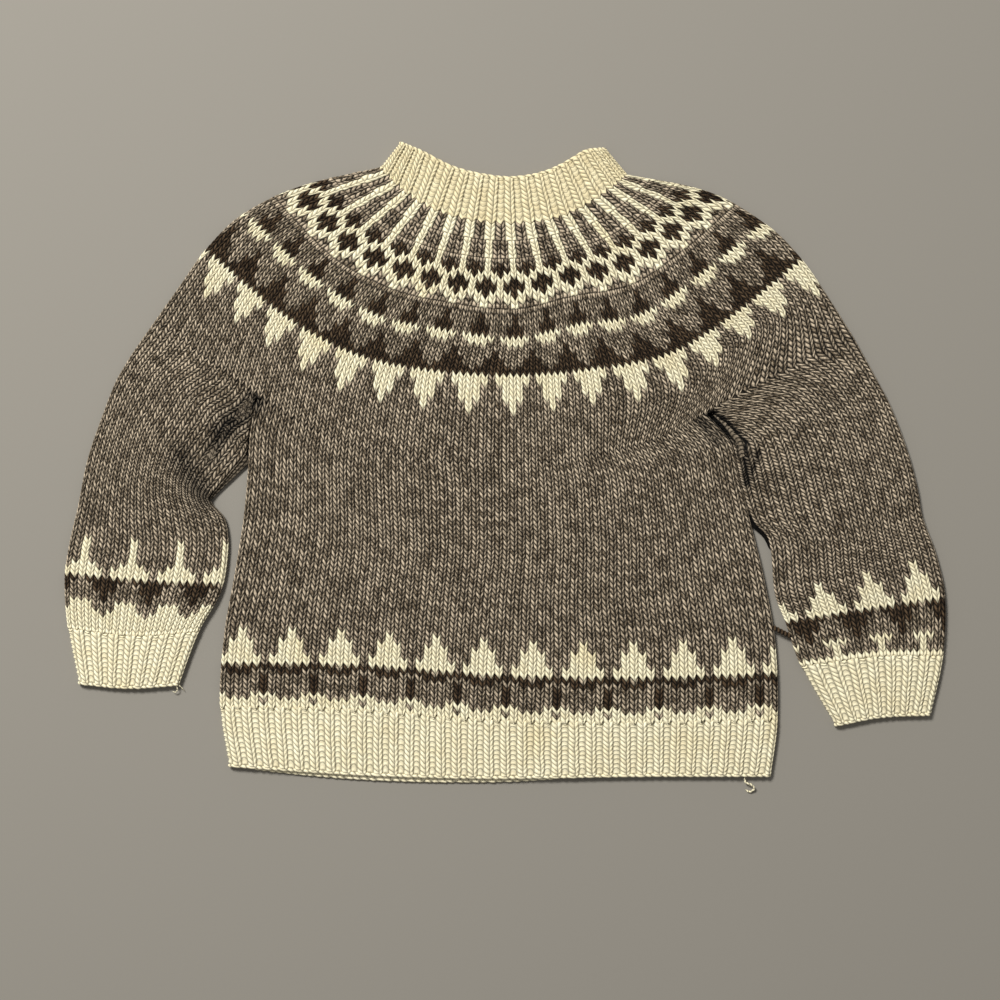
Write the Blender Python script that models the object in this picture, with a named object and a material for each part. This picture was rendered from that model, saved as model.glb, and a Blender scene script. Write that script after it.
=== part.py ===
"""Icelandic sweater with a patterned round yoke, laid flat with its front up, at its real size.

Every piece is a knitted tube pressed flat: a front layer over a back layer, one round fold at each
side, and a thin space of air between them. Left and right are as seen from above, with the neck at
the top: +X to the right, +Y towards the neck, +Z up, and the floor at z = 0. The sizes below are
millimetres, and the finished objects are metres.
"""

import math
from collections import namedtuple

import bmesh
import bpy
from mathutils import Vector

MM = 0.001

# Middle of the laid garment's outline in the tables below, which becomes the origin
CENTRE = Vector((-1.4, -1.9, 0))

# Thickness of the knitting and of the folded garment
WALL = 3.0
AIR = 1.2
FLAT = 2 * WALL + AIR
SEAM = 0.3
RIB_RISE = 1.1
FOLD_ROUND = FLAT / 2
ARMPIT_ROUND = 0.6
SIDE_CLEAR = 0.25
INSIDE_LIFT = 2.4

# How finely each tube is divided
FOLD_STEPS = 4
INNER_STEPS = 2
POINTS_A_RIB = 4
RIB_SHIFT = 1

# The yoke's pattern repeats, counted from the left shoulder fold to the right one
LEFT_FOLD = -0.75
LEFT_ARMPIT = 2.08
RIGHT_ARMPIT = 13.42
RIGHT_FOLD = 16.25
YOKE_AT = (LEFT_FOLD, 2, 4, 6, 8, 10, 12, 14, RIGHT_FOLD)
SLEEVE_COLUMNS = 10
BODY_COLUMNS = 24

# Rings of the yoke: knitted rows above the join, then the front's place at each repeat of YOKE_AT
Ring = namedtuple("Ring", "row left r2 r4 r6 r8 r10 r12 r14 right")
YOKE_RINGS = (
    Ring(
        0, (-323, 130), (-232, 63), (-161, 22), (-82, 3), (6, -2),
        (80, 6), (145, 23), (204, 56), (319, 115),
    ),
    Ring(
        10, (-297, 167), (-219, 106), (-153, 66), (-77, 50), (6, 44),
        (79, 53), (160, 65), (222, 112), (293, 156),
    ),
    Ring(
        17, (-277, 195), (-204, 134), (-140, 99), (-72, 84), (6, 79),
        (75, 84), (148, 98), (208, 134), (272, 186),
    ),
    Ring(
        25, (-245, 226), (-181, 166), (-124, 131), (-61, 117), (8, 109),
        (67, 121), (127, 131), (182, 168), (242, 216),
    ),
    Ring(
        35, (-193, 252), (-144, 201), (-93, 176), (-44, 164), (7, 160),
        (58, 171), (107, 182), (151, 211), (189, 247),
    ),
    Ring(
        49, (-117, 270.5), (-91, 246), (-65, 231), (-32, 222), (3, 219),
        (38, 222), (68, 233), (95, 250), (111, 264),
    ),
)
NECK_EDGE = Ring(
    9.5, (-98, 294), (-76, 285), (-50, 272), (-24, 265), (2, 262),
    (28, 265), (51, 274), (72, 286), (91, 288),
)

# Knitted rows across a tube: rows below the join, then the front's place from its left fold to its right
Course = namedtuple("Course", "row left quarter middle three_quarter right")
BODY_COURSES = (
    Course(5, (-236, 28), (-126, -14), (-4, -25), (108, -14), (206, 18)),
    Course(10.5, (-238, -4), (-125, -40), (-4, -49), (111, -40), (214, -15)),
    Course(18.5, (-242, -50), (-124, -77), (-4, -84), (114, -78), (225, -58)),
    Course(27.5, (-250, -101), (-128, -117), (-7, -124), (115, -123), (237.4, -109)),
    Course(37, (-260, -158), (-132.5, -161), (-9.7, -169.5), (119.6, -172), (247.5, -166)),
    Course(52, (-264, -226), (-135.5, -229.5), (-12.7, -239), (119.6, -241), (249.6, -238)),
    Course(64.5, (-256, -282), (-135.5, -290), (-12.7, -293), (119.6, -291), (243, -291)),
)
BACK_HEM_DROP = 4.5
BACK_HEM_SPAN = (0.04, 0.62)

# Rows across a sleeve: outer fold, middle, inner fold
Reach = namedtuple("Reach", "row outer middle inner")
LEFT_REACHES = (
    Reach(8, (-344, 100), (-291, 70), (-238, 22)),
    Reach(12, (-352, 87), (-299, 55), (-240, 7)),
    Reach(16, (-360, 73), (-308, 40), (-253, -10)),
    Reach(22, (-371, 45), (-322, 15), (-270, -31)),
    Reach(32, (-386, 1), (-330, -19), (-271, -39)),
    Reach(40, (-395, -43), (-330, -50), (-259, -54)),
    Reach(46, (-402, -73), (-328, -78), (-256, -79)),
    Reach(54, (-407, -108), (-334, -115), (-262, -118)),
    Reach(65, (-404, -154), (-342, -161), (-283, -157)),
    Reach(77, (-394, -206), (-348, -210), (-302, -207)),
)
RIGHT_REACHES = (
    Reach(5, (330, 95), (266, 66), (197.5, 31)),
    Reach(10, (341, 75), (279, 45), (208, 16)),
    Reach(16, (353, 52), (292, 21), (213, -5)),
    Reach(24, (368, 13), (303, -12), (217.5, -25)),
    Reach(32, (378, -23), (311, -43), (227.5, -55)),
    Reach(38, (383, -51), (318, -71), (241.5, -73)),
    Reach(48, (396, -87), (323, -104), (247, -122)),
    Reach(56, (404, -126), (333, -136.5), (256.6, -148)),
    Reach(65, (402, -179), (340, -180), (271, -189)),
    Reach(77, (390, -235), (345, -237), (303, -245)),
)

# Rows at which each tube gets a ring of points
YOKE_ROWS = (0, 5, 10, 13.5, 17, 21, 25, 30, 35, 40, 45, 49)
BODY_ROWS = (0, 4, 8, 12, 16, 20, 24, 28, 32, 37, 42, 47, 52)
SLEEVE_ROWS = (0, 4, 8, 12, 16, 20, 24, 28, 32, 36, 40, 44, 48, 52, 56, 60, 65)
HEM_ROWS = (52, 56, 60.5, 64.5)
CUFF_ROWS = (65, 69, 73, 77)
NECK_ROWS = (0, 3, 6.5, 9.5)

# Ribs across the front of each ribbed band
HEM_RIBS = 34
NECK_RIBS = 17
CUFF_RIBS = 8

# Raised folds of the front layer: where each starts and ends, its half width and how far it rises
Fold = namedtuple("Fold", "start end half_width rise")
FOLDS = (
    Fold((-345, 25), (-318, -20), 22, 3.2),
    Fold((-318, -20), (-280, -36), 18, 4.2),
    Fold((-300, 78), (-262, 34), 20, 2.4),
    Fold((178, 44), (212, 80), 14, 3.2),
    Fold((190, 48), (224, 14), 10, 5.0),
    Fold((224, 14), (222, -18), 9, 3.4),
    Fold((262, 50), (250, 0), 26, 2.0),
    Fold((-215, 70), (-160, 10), 24, 1.8),
    Fold((60, 40), (150, -20), 40, 1.6),
    Fold((-150, -130), (40, -150), 42, 1.4),
    Fold((300, -60), (330, -110), 26, 1.8),
)


def curve_at(knots, places, at):
    """Place at a knot value on a smooth curve through the given places."""
    last = len(knots) - 1
    span = max(i for i in range(last) if knots[i] <= at or i == 0)
    slopes = []
    for i in (span, span + 1):
        low = max(i - 1, 0)
        high = min(i + 1, last)
        slopes.append((places[high] - places[low]) / (knots[high] - knots[low]))
    width = knots[span + 1] - knots[span]
    t = (at - knots[span]) / width
    return (
        places[span] * (2 * t**3 - 3 * t**2 + 1)
        + slopes[0] * (width * (t**3 - 2 * t**2 + t))
        + places[span + 1] * (3 * t**2 - 2 * t**3)
        + slopes[1] * (width * (t**3 - t**2))
    )


def row_curve(record, knots, at):
    """Place along one row of a table, by knot value."""
    return curve_at(knots, [Vector(place) for place in record[1:]], at)


def table_curve(table, knots, row, at):
    """Place on the surface that a table of rows spans."""
    return curve_at([record.row for record in table], [row_curve(record, knots, at) for record in table], row)


def yoke_place(row, repeat):
    """Place of the yoke's front at a row above the join and a pattern repeat."""
    return table_curve(YOKE_RINGS, YOKE_AT, row, repeat)


def neck_place(row, repeat):
    """Place of the neckband's front at a row above the yoke."""
    share = row / NECK_EDGE.row
    return row_curve(YOKE_RINGS[-1], YOKE_AT, repeat).lerp(row_curve(NECK_EDGE, YOKE_AT, repeat), share)


def below_yoke(table, first, last, from_right=False):
    """Function from row and share of width to the place on a tube that hangs from the yoke."""
    count = len(table[0]) - 2
    shares = [i / count for i in range(count + 1)]
    starts = [0] + [record.row for record in table]

    def place(row, share):
        across = 1 - share if from_right else share
        places = [yoke_place(0, first + share * (last - first))]
        places += [row_curve(record, shares, across) for record in table]
        return curve_at(starts, places, row)

    return place


body_place = below_yoke(BODY_COURSES, LEFT_ARMPIT, RIGHT_ARMPIT)
left_place = below_yoke(LEFT_REACHES, LEFT_FOLD, LEFT_ARMPIT)
right_place = below_yoke(RIGHT_REACHES, RIGHT_ARMPIT, RIGHT_FOLD, from_right=True)


def fold_rise(place):
    """Height that the soft folds add to the front layer at a place."""
    total = 0.0
    for fold in FOLDS:
        start = Vector(fold.start)
        along = Vector(fold.end) - start
        share = min(max((place - start).dot(along) / along.length_squared, 0), 1)
        away = (place - start - along * share).length / fold.half_width
        total += (fold.rise * math.exp(-away * away)) ** 2
    return math.sqrt(total)


def moved_across(points, distance):
    """A row of places moved sideways, to the right of its own direction."""
    moved = []
    for i, point in enumerate(points):
        along = points[min(i + 1, len(points) - 1)] - points[max(i - 1, 0)]
        moved.append(point + Vector((along.y, -along.x)).normalized() * distance)
    return moved


class Row:
    """One row of a tube: its front as a line of places, with lengths measured along it."""

    def __init__(self, places):
        self.places = places
        self.lengths = [0.0]
        for before, after in zip(places, places[1:]):
            self.lengths.append(self.lengths[-1] + (after - before).length)
        self.length = self.lengths[-1]

    def at(self, length):
        """Place at a length along the row."""
        length = min(max(length, 0), self.length)
        i = max(k for k in range(len(self.places) - 1) if self.lengths[k] <= length)
        share = (length - self.lengths[i]) / (self.lengths[i + 1] - self.lengths[i])
        return self.places[i].lerp(self.places[i + 1], share)

    def columns(self, spans, low, high):
        """Lengths that divide the row evenly in its own columns, kept between two limits."""
        share = (len(self.places) - 1) / spans
        found = []
        for i in range(spans + 1):
            k = min(int(i * share + 1e-9), len(self.places) - 2)
            found.append(self.lengths[k] + (i * share - k) * (self.lengths[k + 1] - self.lengths[k]))
        return [low] + found[1:-1] + [high]


def fold_arc(length, inset, reach, half, steps, side):
    """Points round one side fold, from the front layer to the back (side 1) or back to front (-1)."""
    points = []
    for i in range(1, steps):
        angle = math.pi * i / steps
        away = inset + reach * (1 - math.sin(angle))
        points.append((length - away if side == 1 else away, side * half * math.cos(angle)))
    return points


def row_loops(row, ribs, rise, rounds, back_drop):
    """Outer and inner loops of points across one row of a tube."""
    spans = len(row.places) - 1
    front_spans = ribs * POINTS_A_RIB if ribs else spans
    low, high = (SIDE_CLEAR + reach for reach in rounds)
    front = row.columns(front_spans, low, row.length - high)
    back = row.columns(spans, low, row.length - high)
    outer = []
    for i, length in enumerate(front):
        rib = rise * 0.5 * (1 - math.cos(math.tau * (i - RIB_SHIFT) / POINTS_A_RIB)) if ribs else 0
        place = row.at(length)
        outer.append((place.x, place.y, FLAT + rib + fold_rise(place)))
    for length, height in fold_arc(row.length, SIDE_CLEAR, rounds[1], FLAT / 2, FOLD_STEPS, 1):
        outer.append((*row.at(length), FLAT / 2 + height))
    for length in reversed(back):
        place = row.at(length)
        outer.append((place.x, place.y - back_drop(length / row.length), 0))
    for length, height in fold_arc(row.length, SIDE_CLEAR, rounds[0], FLAT / 2, FOLD_STEPS, -1):
        outer.append((*row.at(length), FLAT / 2 + height))

    edge = SIDE_CLEAR + WALL + AIR / 2
    lengths = row.columns(spans, edge, row.length - edge)
    inner = []
    for length in lengths:
        place = row.at(length)
        inner.append((place.x, place.y, WALL + AIR + min(fold_rise(place), INSIDE_LIFT)))
    for length, height in fold_arc(row.length, SIDE_CLEAR + WALL, AIR / 2, AIR / 2, INNER_STEPS, 1):
        inner.append((*row.at(length), FLAT / 2 + height))
    for length in reversed(lengths):
        place = row.at(length)
        inner.append((place.x, place.y - back_drop(length / row.length), WALL))
    for length, height in fold_arc(row.length, SIDE_CLEAR + WALL, AIR / 2, AIR / 2, INNER_STEPS, -1):
        inner.append((*row.at(length), FLAT / 2 + height))
    return outer, inner


def ring_shares(ring):
    """How far round a closed ring of vertices each one lies, from 0 to 1."""
    steps = [(ring[(i + 1) % len(ring)].co - vert.co).length for i, vert in enumerate(ring)]
    total = sum(steps)
    shares = [0.0]
    for step in steps:
        shares.append(shares[-1] + step / total)
    return shares


def bridge_bands(mesh, rings):
    """Faces between each ring of vertices and the next, all with the same count."""
    for low, high in zip(rings, rings[1:]):
        for i, vert in enumerate(low):
            j = (i + 1) % len(low)
            mesh.faces.new((vert, low[j], high[j], high[i]))


def close_rim(mesh, outer, inner):
    """Triangles between an outer and an inner ring at an open end of a tube."""
    outer_shares = ring_shares(outer)
    inner_shares = ring_shares(inner)
    i = 0
    j = 0
    while i < len(outer) or j < len(inner):
        outer_next = outer_shares[i + 1] if i < len(outer) else 2
        inner_next = inner_shares[j + 1] if j < len(inner) else 2
        a = outer[i % len(outer)]
        b = inner[j % len(inner)]
        if outer_next <= inner_next:
            i += 1
            mesh.faces.new((a, outer[i % len(outer)], b))
        else:
            j += 1
            mesh.faces.new((a, inner[j % len(inner)], b))


def knit_tube(name, rows, colour, ribs=0, rounds=None, back_drops=None):
    """One flattened knitted tube from its rows of places, as an object of its own."""
    count = len(rows)
    rounds = rounds or [(FOLD_ROUND, FOLD_ROUND)] * count
    back_drops = back_drops or [lambda share: 0.0] * count
    mesh = bmesh.new()
    outers = []
    inners = []
    for places, round_pair, back_drop in zip(rows, rounds, back_drops):
        outer, inner = row_loops(Row(places), ribs, RIB_RISE, round_pair, back_drop)
        outers.append([mesh.verts.new((Vector(point) - CENTRE) * MM) for point in outer])
        inners.append([mesh.verts.new((Vector(point) - CENTRE) * MM) for point in inner])
    bridge_bands(mesh, outers)
    bridge_bands(mesh, inners)
    close_rim(mesh, outers[0], inners[0])
    close_rim(mesh, outers[-1], inners[-1])
    bmesh.ops.triangulate(mesh, faces=mesh.faces[:])
    bmesh.ops.recalc_face_normals(mesh, faces=mesh.faces[:])
    data = bpy.data.meshes.new(name)
    mesh.to_mesh(data)
    mesh.free()
    data.shade_smooth()
    data.materials.append(yarn(f"{name}_yarn", colour))
    thing = bpy.data.objects.new(name, data)
    bpy.context.scene.collection.objects.link(thing)
    return thing


def yarn(name, colour):
    """Plain wool material of one colour."""
    material = bpy.data.materials.new(name)
    material.use_nodes = True
    shader = material.node_tree.nodes["Principled BSDF"]
    shader.inputs["Base Color"].default_value = (*colour, 1)
    shader.inputs["Roughness"].default_value = 0.95
    shader.inputs["Metallic"].default_value = 0
    return material


HEATHER = (0.17, 0.135, 0.096)
SLEEVE_HEATHER = (0.19, 0.155, 0.11)
YOKE_MIX = (0.16, 0.12, 0.08)
CREAM = (0.74, 0.68, 0.465)


def even(first, last, spans):
    """Evenly spaced values from first to last."""
    return [first + (last - first) * i / spans for i in range(spans + 1)]


SLEEVE_SHARES = even(0, 1, SLEEVE_COLUMNS)
BODY_SHARES = even(0, 1, BODY_COLUMNS)
YOKE_REPEATS = (
    even(LEFT_FOLD, LEFT_ARMPIT, SLEEVE_COLUMNS)
    + even(LEFT_ARMPIT, RIGHT_ARMPIT, BODY_COLUMNS)[1:]
    + even(RIGHT_ARMPIT, RIGHT_FOLD, SLEEVE_COLUMNS)[1:]
)


def tube_rows(place, rows, shares):
    """Rows of places for a tube, the first one a seam's gap from the piece it hangs from."""
    lines = [[place(row, share) for share in shares] for row in rows]
    lines[0] = moved_across(lines[0], SEAM)
    return lines


def armpit_rounds(rows, left, right):
    """Side fold of each row, almost square where the tube starts in an armpit."""
    first = (ARMPIT_ROUND if left else FOLD_ROUND, ARMPIT_ROUND if right else FOLD_ROUND)
    return [first] + [(FOLD_ROUND, FOLD_ROUND)] * (len(rows) - 1)


def back_hem(share):
    """How far the back's hem lies below the front's, across the width."""
    low, high = BACK_HEM_SPAN
    if not low < share < high:
        return 0.0
    return BACK_HEM_DROP * math.sin(math.pi * (share - low) / (high - low)) ** 0.5


def make_yoke():
    """The round yoke, from the join of body and sleeves up to the neckband."""
    knit_tube("yoke", [[yoke_place(row, at) for at in YOKE_REPEATS] for row in YOKE_ROWS], YOKE_MIX)


def make_neckband():
    """The ribbed neckband."""
    lines = [[neck_place(row, at) for at in YOKE_REPEATS] for row in NECK_ROWS]
    lines[0] = moved_across(lines[0], -SEAM)
    knit_tube("neckband", lines, CREAM, ribs=NECK_RIBS)


def make_body():
    """The plain and patterned body between the yoke and the hem's ribbing."""
    lines = tube_rows(body_place, BODY_ROWS, BODY_SHARES)
    knit_tube("body", lines, HEATHER, rounds=armpit_rounds(BODY_ROWS, True, True))


def make_hem():
    """The ribbed hem, longer at the back."""
    lines = tube_rows(body_place, HEM_ROWS, BODY_SHARES)
    drops = [lambda share, part=i / (len(HEM_ROWS) - 1): part * back_hem(share) for i in range(len(HEM_ROWS))]
    knit_tube("hem_rib", lines, CREAM, ribs=HEM_RIBS, back_drops=drops)


def make_sleeve(side, place, inner_left):
    """One sleeve and its ribbed cuff."""
    rounds = armpit_rounds(SLEEVE_ROWS, inner_left, not inner_left)
    knit_tube(f"sleeve_{side}", tube_rows(place, SLEEVE_ROWS, SLEEVE_SHARES), SLEEVE_HEATHER, rounds=rounds)
    knit_tube(f"cuff_{side}", tube_rows(place, CUFF_ROWS, SLEEVE_SHARES), CREAM, ribs=CUFF_RIBS)


def main():
    """Clear the scene and make the sweater."""
    for thing in list(bpy.data.objects):
        bpy.data.objects.remove(thing)
    make_yoke()
    make_neckband()
    make_body()
    make_hem()
    make_sleeve("left", left_place, inner_left=False)
    make_sleeve("right", right_place, inner_left=True)


main()
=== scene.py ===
"""Looks of a hand-knitted Icelandic sweater that lies flat with its front up.

Each piece is a thin closed shell of knitting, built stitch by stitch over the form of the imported
solid that it replaces: a fine front layer, round side folds, a plain back that rests on the floor
and a plain inside. The tables are in millimetres, with x to the right, y towards the neck and the
floor at z = 0, and the meshes are in metres.
"""
import logging
import math
from dataclasses import dataclass, field
from enum import Enum
from typing import Callable, NamedTuple

import bpy
import numpy as np
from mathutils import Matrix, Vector


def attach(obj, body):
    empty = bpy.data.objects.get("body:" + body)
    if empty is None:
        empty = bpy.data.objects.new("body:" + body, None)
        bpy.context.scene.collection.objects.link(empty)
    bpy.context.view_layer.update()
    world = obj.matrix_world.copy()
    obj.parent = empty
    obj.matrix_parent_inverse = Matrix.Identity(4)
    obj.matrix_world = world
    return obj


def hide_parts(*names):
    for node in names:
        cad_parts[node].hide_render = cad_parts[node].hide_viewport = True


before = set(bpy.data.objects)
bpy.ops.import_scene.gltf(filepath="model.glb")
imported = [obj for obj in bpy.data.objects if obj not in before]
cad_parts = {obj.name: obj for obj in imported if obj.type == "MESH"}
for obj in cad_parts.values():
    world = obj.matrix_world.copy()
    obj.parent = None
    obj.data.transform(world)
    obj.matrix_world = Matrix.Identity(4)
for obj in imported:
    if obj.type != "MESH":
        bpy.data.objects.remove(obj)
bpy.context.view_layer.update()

LOG = logging.getLogger("sweater")

MM = 0.001
CENTRE = np.array((-1.4, -1.9))
WALL = 3.0
AIR = 1.2
FLAT = 2 * WALL + AIR
FOLD_ROUND = FLAT / 2
ARMPIT_ROUND = 0.6
INSIDE_LIFT = 2.4
BACK_HEM_DROP = 4.5
BACK_HEM_SPAN = (0.04, 0.62)

# The yoke's pattern repeats, counted from the left shoulder fold to the right one
LEFT_FOLD = -0.75
RIGHT_FOLD = 16.25
STITCHES_A_REPEAT = 6
SLEEVE_STITCHES = 17
UNDERARM_STITCHES = 4
UNDERARM_WRAP = UNDERARM_STITCHES / SLEEVE_STITCHES
LEFT_ARMPIT = LEFT_FOLD + SLEEVE_STITCHES / STITCHES_A_REPEAT
RIGHT_ARMPIT = RIGHT_FOLD - SLEEVE_STITCHES / STITCHES_A_REPEAT


class Ring(NamedTuple):
    """A ring of the yoke: knitted rows above the join, then the front's place at some repeats."""

    row: float
    left: tuple
    r2: tuple
    r4: tuple
    r6: tuple
    r8: tuple
    r10: tuple
    r12: tuple
    r14: tuple
    right: tuple


class Course(NamedTuple):
    """A row of the body: rows below the join, then the front's place from left fold to right."""

    row: float
    left: tuple
    quarter: tuple
    middle: tuple
    three_quarter: tuple
    right: tuple


class Reach(NamedTuple):
    """A row of a sleeve: rows below the join, then its outer fold, middle and inner fold."""

    row: float
    outer: tuple
    middle: tuple
    inner: tuple


class Fold(NamedTuple):
    """A soft fold of the front layer: its ends, half width and rise."""

    start: tuple
    end: tuple
    half_width: float
    rise: float


class Yarn(Enum):
    """The three yarns, by their letter in the charts, with their masks of cream and dark."""

    HEATHER = ("M", 0.0, 0.0)
    CREAM = ("W", 1.0, 0.0)
    DARK = ("D", 0.0, 1.0)


class Strand(NamedTuple):
    """A loose strand: its places, radius and yarn."""

    places: tuple
    radius: float
    yarn: Yarn


# The form of the front, measured between its side folds
YOKE_AT = (LEFT_FOLD, 2, 4, 6, 8, 10, 12, 14, RIGHT_FOLD)
YOKE_RINGS = (
    Ring(0, (-323, 130), (-232, 63), (-161, 22), (-82, 3), (6, -2),
         (80, 6), (145, 23), (204, 56), (319, 115)),
    Ring(10, (-297, 167), (-219, 106), (-153, 66), (-77, 50), (6, 44),
         (79, 53), (160, 65), (222, 112), (293, 156)),
    Ring(17, (-277, 195), (-204, 134), (-140, 99), (-72, 84), (6, 79),
         (75, 84), (148, 98), (208, 134), (272, 186)),
    Ring(25, (-245, 226), (-181, 166), (-124, 131), (-61, 117), (8, 109),
         (67, 121), (127, 131), (182, 168), (242, 216)),
    Ring(35, (-193, 252), (-144, 201), (-93, 176), (-44, 164), (7, 160),
         (58, 171), (107, 182), (151, 211), (189, 247)),
    Ring(49, (-117, 270.5), (-91, 246), (-65, 231), (-32, 222), (3, 219),
         (38, 222), (68, 233), (95, 250), (111, 264)),
)
NECK_EDGE = Ring(9.5, (-98, 294), (-76, 285), (-50, 272), (-24, 265), (2, 262),
                 (28, 265), (51, 274), (72, 286), (91, 288))
BODY_COURSES = (
    Course(5, (-236, 28), (-126, -14), (-4, -25), (108, -14), (206, 18)),
    Course(10.5, (-238, -4), (-125, -40), (-4, -49), (111, -40), (214, -15)),
    Course(18.5, (-242, -50), (-124, -77), (-4, -84), (114, -78), (225, -58)),
    Course(27.5, (-250, -101), (-128, -117), (-7, -124), (115, -123), (237.4, -109)),
    Course(37, (-260, -158), (-132.5, -161), (-9.7, -169.5), (119.6, -172), (247.5, -166)),
    Course(52, (-264, -226), (-135.5, -229.5), (-12.7, -239), (119.6, -241), (249.6, -238)),
    Course(64.5, (-256, -282), (-135.5, -290), (-12.7, -293), (119.6, -291), (243, -291)),
)
LEFT_REACHES = (
    Reach(8, (-344, 100), (-291, 70), (-238, 22)),
    Reach(12, (-352, 87), (-299, 55), (-240, 7)),
    Reach(16, (-360, 73), (-308, 40), (-253, -10)),
    Reach(22, (-371, 45), (-322, 15), (-270, -31)),
    Reach(32, (-386, 1), (-330, -19), (-271, -39)),
    Reach(40, (-395, -43), (-330, -50), (-259, -54)),
    Reach(46, (-402, -73), (-328, -78), (-256, -79)),
    Reach(54, (-407, -108), (-334, -115), (-262, -118)),
    Reach(65, (-404, -154), (-342, -161), (-283, -157)),
    Reach(77, (-394, -206), (-348, -210), (-302, -207)),
)
RIGHT_REACHES = (
    Reach(5, (330, 95), (266, 66), (197.5, 31)),
    Reach(10, (341, 75), (279, 45), (208, 16)),
    Reach(16, (353, 52), (292, 21), (213, -5)),
    Reach(24, (368, 13), (303, -12), (217.5, -25)),
    Reach(32, (378, -23), (311, -43), (227.5, -55)),
    Reach(38, (383, -51), (318, -71), (241.5, -73)),
    Reach(48, (396, -87), (323, -104), (247, -122)),
    Reach(56, (404, -126), (333, -136.5), (256.6, -148)),
    Reach(65, (402, -179), (340, -180), (271, -189)),
    Reach(77, (390, -235), (345, -237), (303, -245)),
)

# Soft folds of the front layer, then the creases in it, which also paint shade on it
FOLDS = (
    Fold((-345, 25), (-318, -20), 22, 3.2),
    Fold((-318, -20), (-280, -36), 18, 4.2),
    Fold((-300, 78), (-262, 34), 20, 2.4),
    Fold((178, 44), (212, 80), 14, 3.2),
    Fold((190, 48), (224, 14), 10, 5.0),
    Fold((224, 14), (222, -18), 9, 3.4),
    Fold((262, 50), (250, 0), 26, 2.0),
    Fold((-215, 70), (-160, 10), 24, 1.8),
    Fold((60, 40), (150, -20), 40, 1.6),
    Fold((-150, -130), (40, -150), 42, 1.4),
    Fold((300, -60), (330, -110), 26, 1.8),
)
HOLLOWS = (
    Fold((186, 45), (199, 35), 3.5, 6.5),
    Fold((199, 35), (208, 25), 3.8, 7.5),
    Fold((208, 25), (217, 16), 3.8, 7.5),
    Fold((217, 16), (216, 6), 3.5, 6.0),
    Fold((219, 6), (221, -20), 3.5, 2.6),
    Fold((232, 8), (222, -22), 2.4, 2.0),
    Fold((176, 40), (196, 16), 5, 1.6),
    Fold((-228, 58), (-262, 26), 10, 2.4),
    Fold((-262, 26), (-272, 4), 8, 1.8),
    Fold((-300, 2), (-276, -34), 12, 1.5),
)

# Loose ends of yarn
TAIL = Strand(((219.3, -291, 3), (220.3, -296, 4), (225.3, -298, 4.5), (228.3, -302, 3),
               (224.3, -305, 1.5), (220.3, -303, 1.2)), 0.9, Yarn.CREAM)
DARN = Strand(((243, -152, 5), (248, -154.5, 6.5), (253, -157, 6.5), (258, -159.5, 6),
               (264, -162, 5)), 2.3, Yarn.DARK)
WISPS = (
    Strand(((-305, -206, 4), (-303, -210, 4.5), (-305, -213, 3.5), (-308, -212, 3)), 0.45,
           Yarn.CREAM),
    Strand(((-304, -205, 4), (-300, -208, 4), (-297, -212, 2)), 0.4, Yarn.CREAM),
)


class Knit(Enum):
    """How a stretch is knitted."""

    STOCKING = "stocking stitch"
    RIB = "single rib"


class Rows(Enum):
    """Which way a tube's rows are counted, as a sign along y."""

    UP = 1
    DOWN = -1


@dataclass(frozen=True)
class Chart:
    """A repeat of coloured stitches.

    Its lines run in the order in which the tube's rows are counted, each a row of yarn letters.
    The shift is the letter that the first stitch takes. All other rows are plain.
    """

    lines: tuple = ()
    first_row: int = 0
    shift: int = 0
    plain: Yarn = Yarn.HEATHER

    def codes(self, rows: int, stitches: int) -> np.ndarray:
        """Yarn masks of every stitch.

        Args:
            rows: number of knitted rows.
            stitches: number of stitches all round.

        Returns:
            An array of (cream, dark) masks, rows by stitches.
        """
        masks = {yarn.value[0]: yarn.value[1:] for yarn in Yarn}
        grid = np.tile(np.array(self.plain.value[1:]), (rows, stitches, 1))
        for i, line in enumerate(self.lines):
            row = self.first_row + i
            if row < rows:
                for stitch in range(stitches):
                    grid[row, stitch] = masks[line[(stitch + self.shift) % len(line)]]
        return grid


def peak_lines(tip: int, middle: int) -> tuple:
    """Lines of a cream peak that stands on its broad foot."""
    return ("MMMWMM",) * tip + ("MMWWWM",) * middle + ("MWWWWW",) * 2


DARK_TEETH = ("DDDMDD", "DDMMMD", "DDMMMD", "DMMMMM", "DMMMMM")
HEM_LINES = (
    *peak_lines(2, 3), "DDDMDD", "MMDDDM", *("DMMMMM",) * 4, "WWMMMW", "MWWWWW", "WWWWWW",
)
LEFT_CUFF_LINES = (
    *peak_lines(5, 1), *DARK_TEETH, "MMWWWM", "MMWWWM", "MWWWWW", *("WWWWWW",) * 4,
)
RIGHT_CUFF_LINES = (
    *peak_lines(3, 3), *DARK_TEETH, "MMWWWM", "MMMWMM", "MMMWMM", "WWWWWW",
)
TRIANGLE_LINES = (
    *peak_lines(2, 3), "DDDDDD", *DARK_TEETH, "MMMMMM", "MMWWWM", "MWWWWW",
    *("MMDDDM",) * 2, *("MMMDMM",) * 2, "MMMMMM",
)
DIAMOND_LINES = (
    "MMWM", "MWWW", "WWDW", "WDDD", "WDDD", "WWDW", "DWWW", "DDWD", "DMWM", "MMWM",
)
SPOKE_LINES = ("MMW",) * 4
NECK_LINES = ("MW",) * 4


@dataclass(frozen=True)
class StitchForm:
    """Relief of one stitch, in millimetres.

    Across a stitch the left leg is the broad one. The strands slant down to the middle by the
    drop, in rows, and purled ones lie level.
    """

    columns: tuple = (0.0, 0.17, 0.38, 0.62, 0.73, 0.88)
    along: tuple = (0.05, 0.92, 1.0, 0.12, 0.8, 0.78)
    across: tuple = (0.1, 0.95, 1.0)
    purl: float = 0.0
    rise: float = 1.7
    sink: float = 1.0


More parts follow.
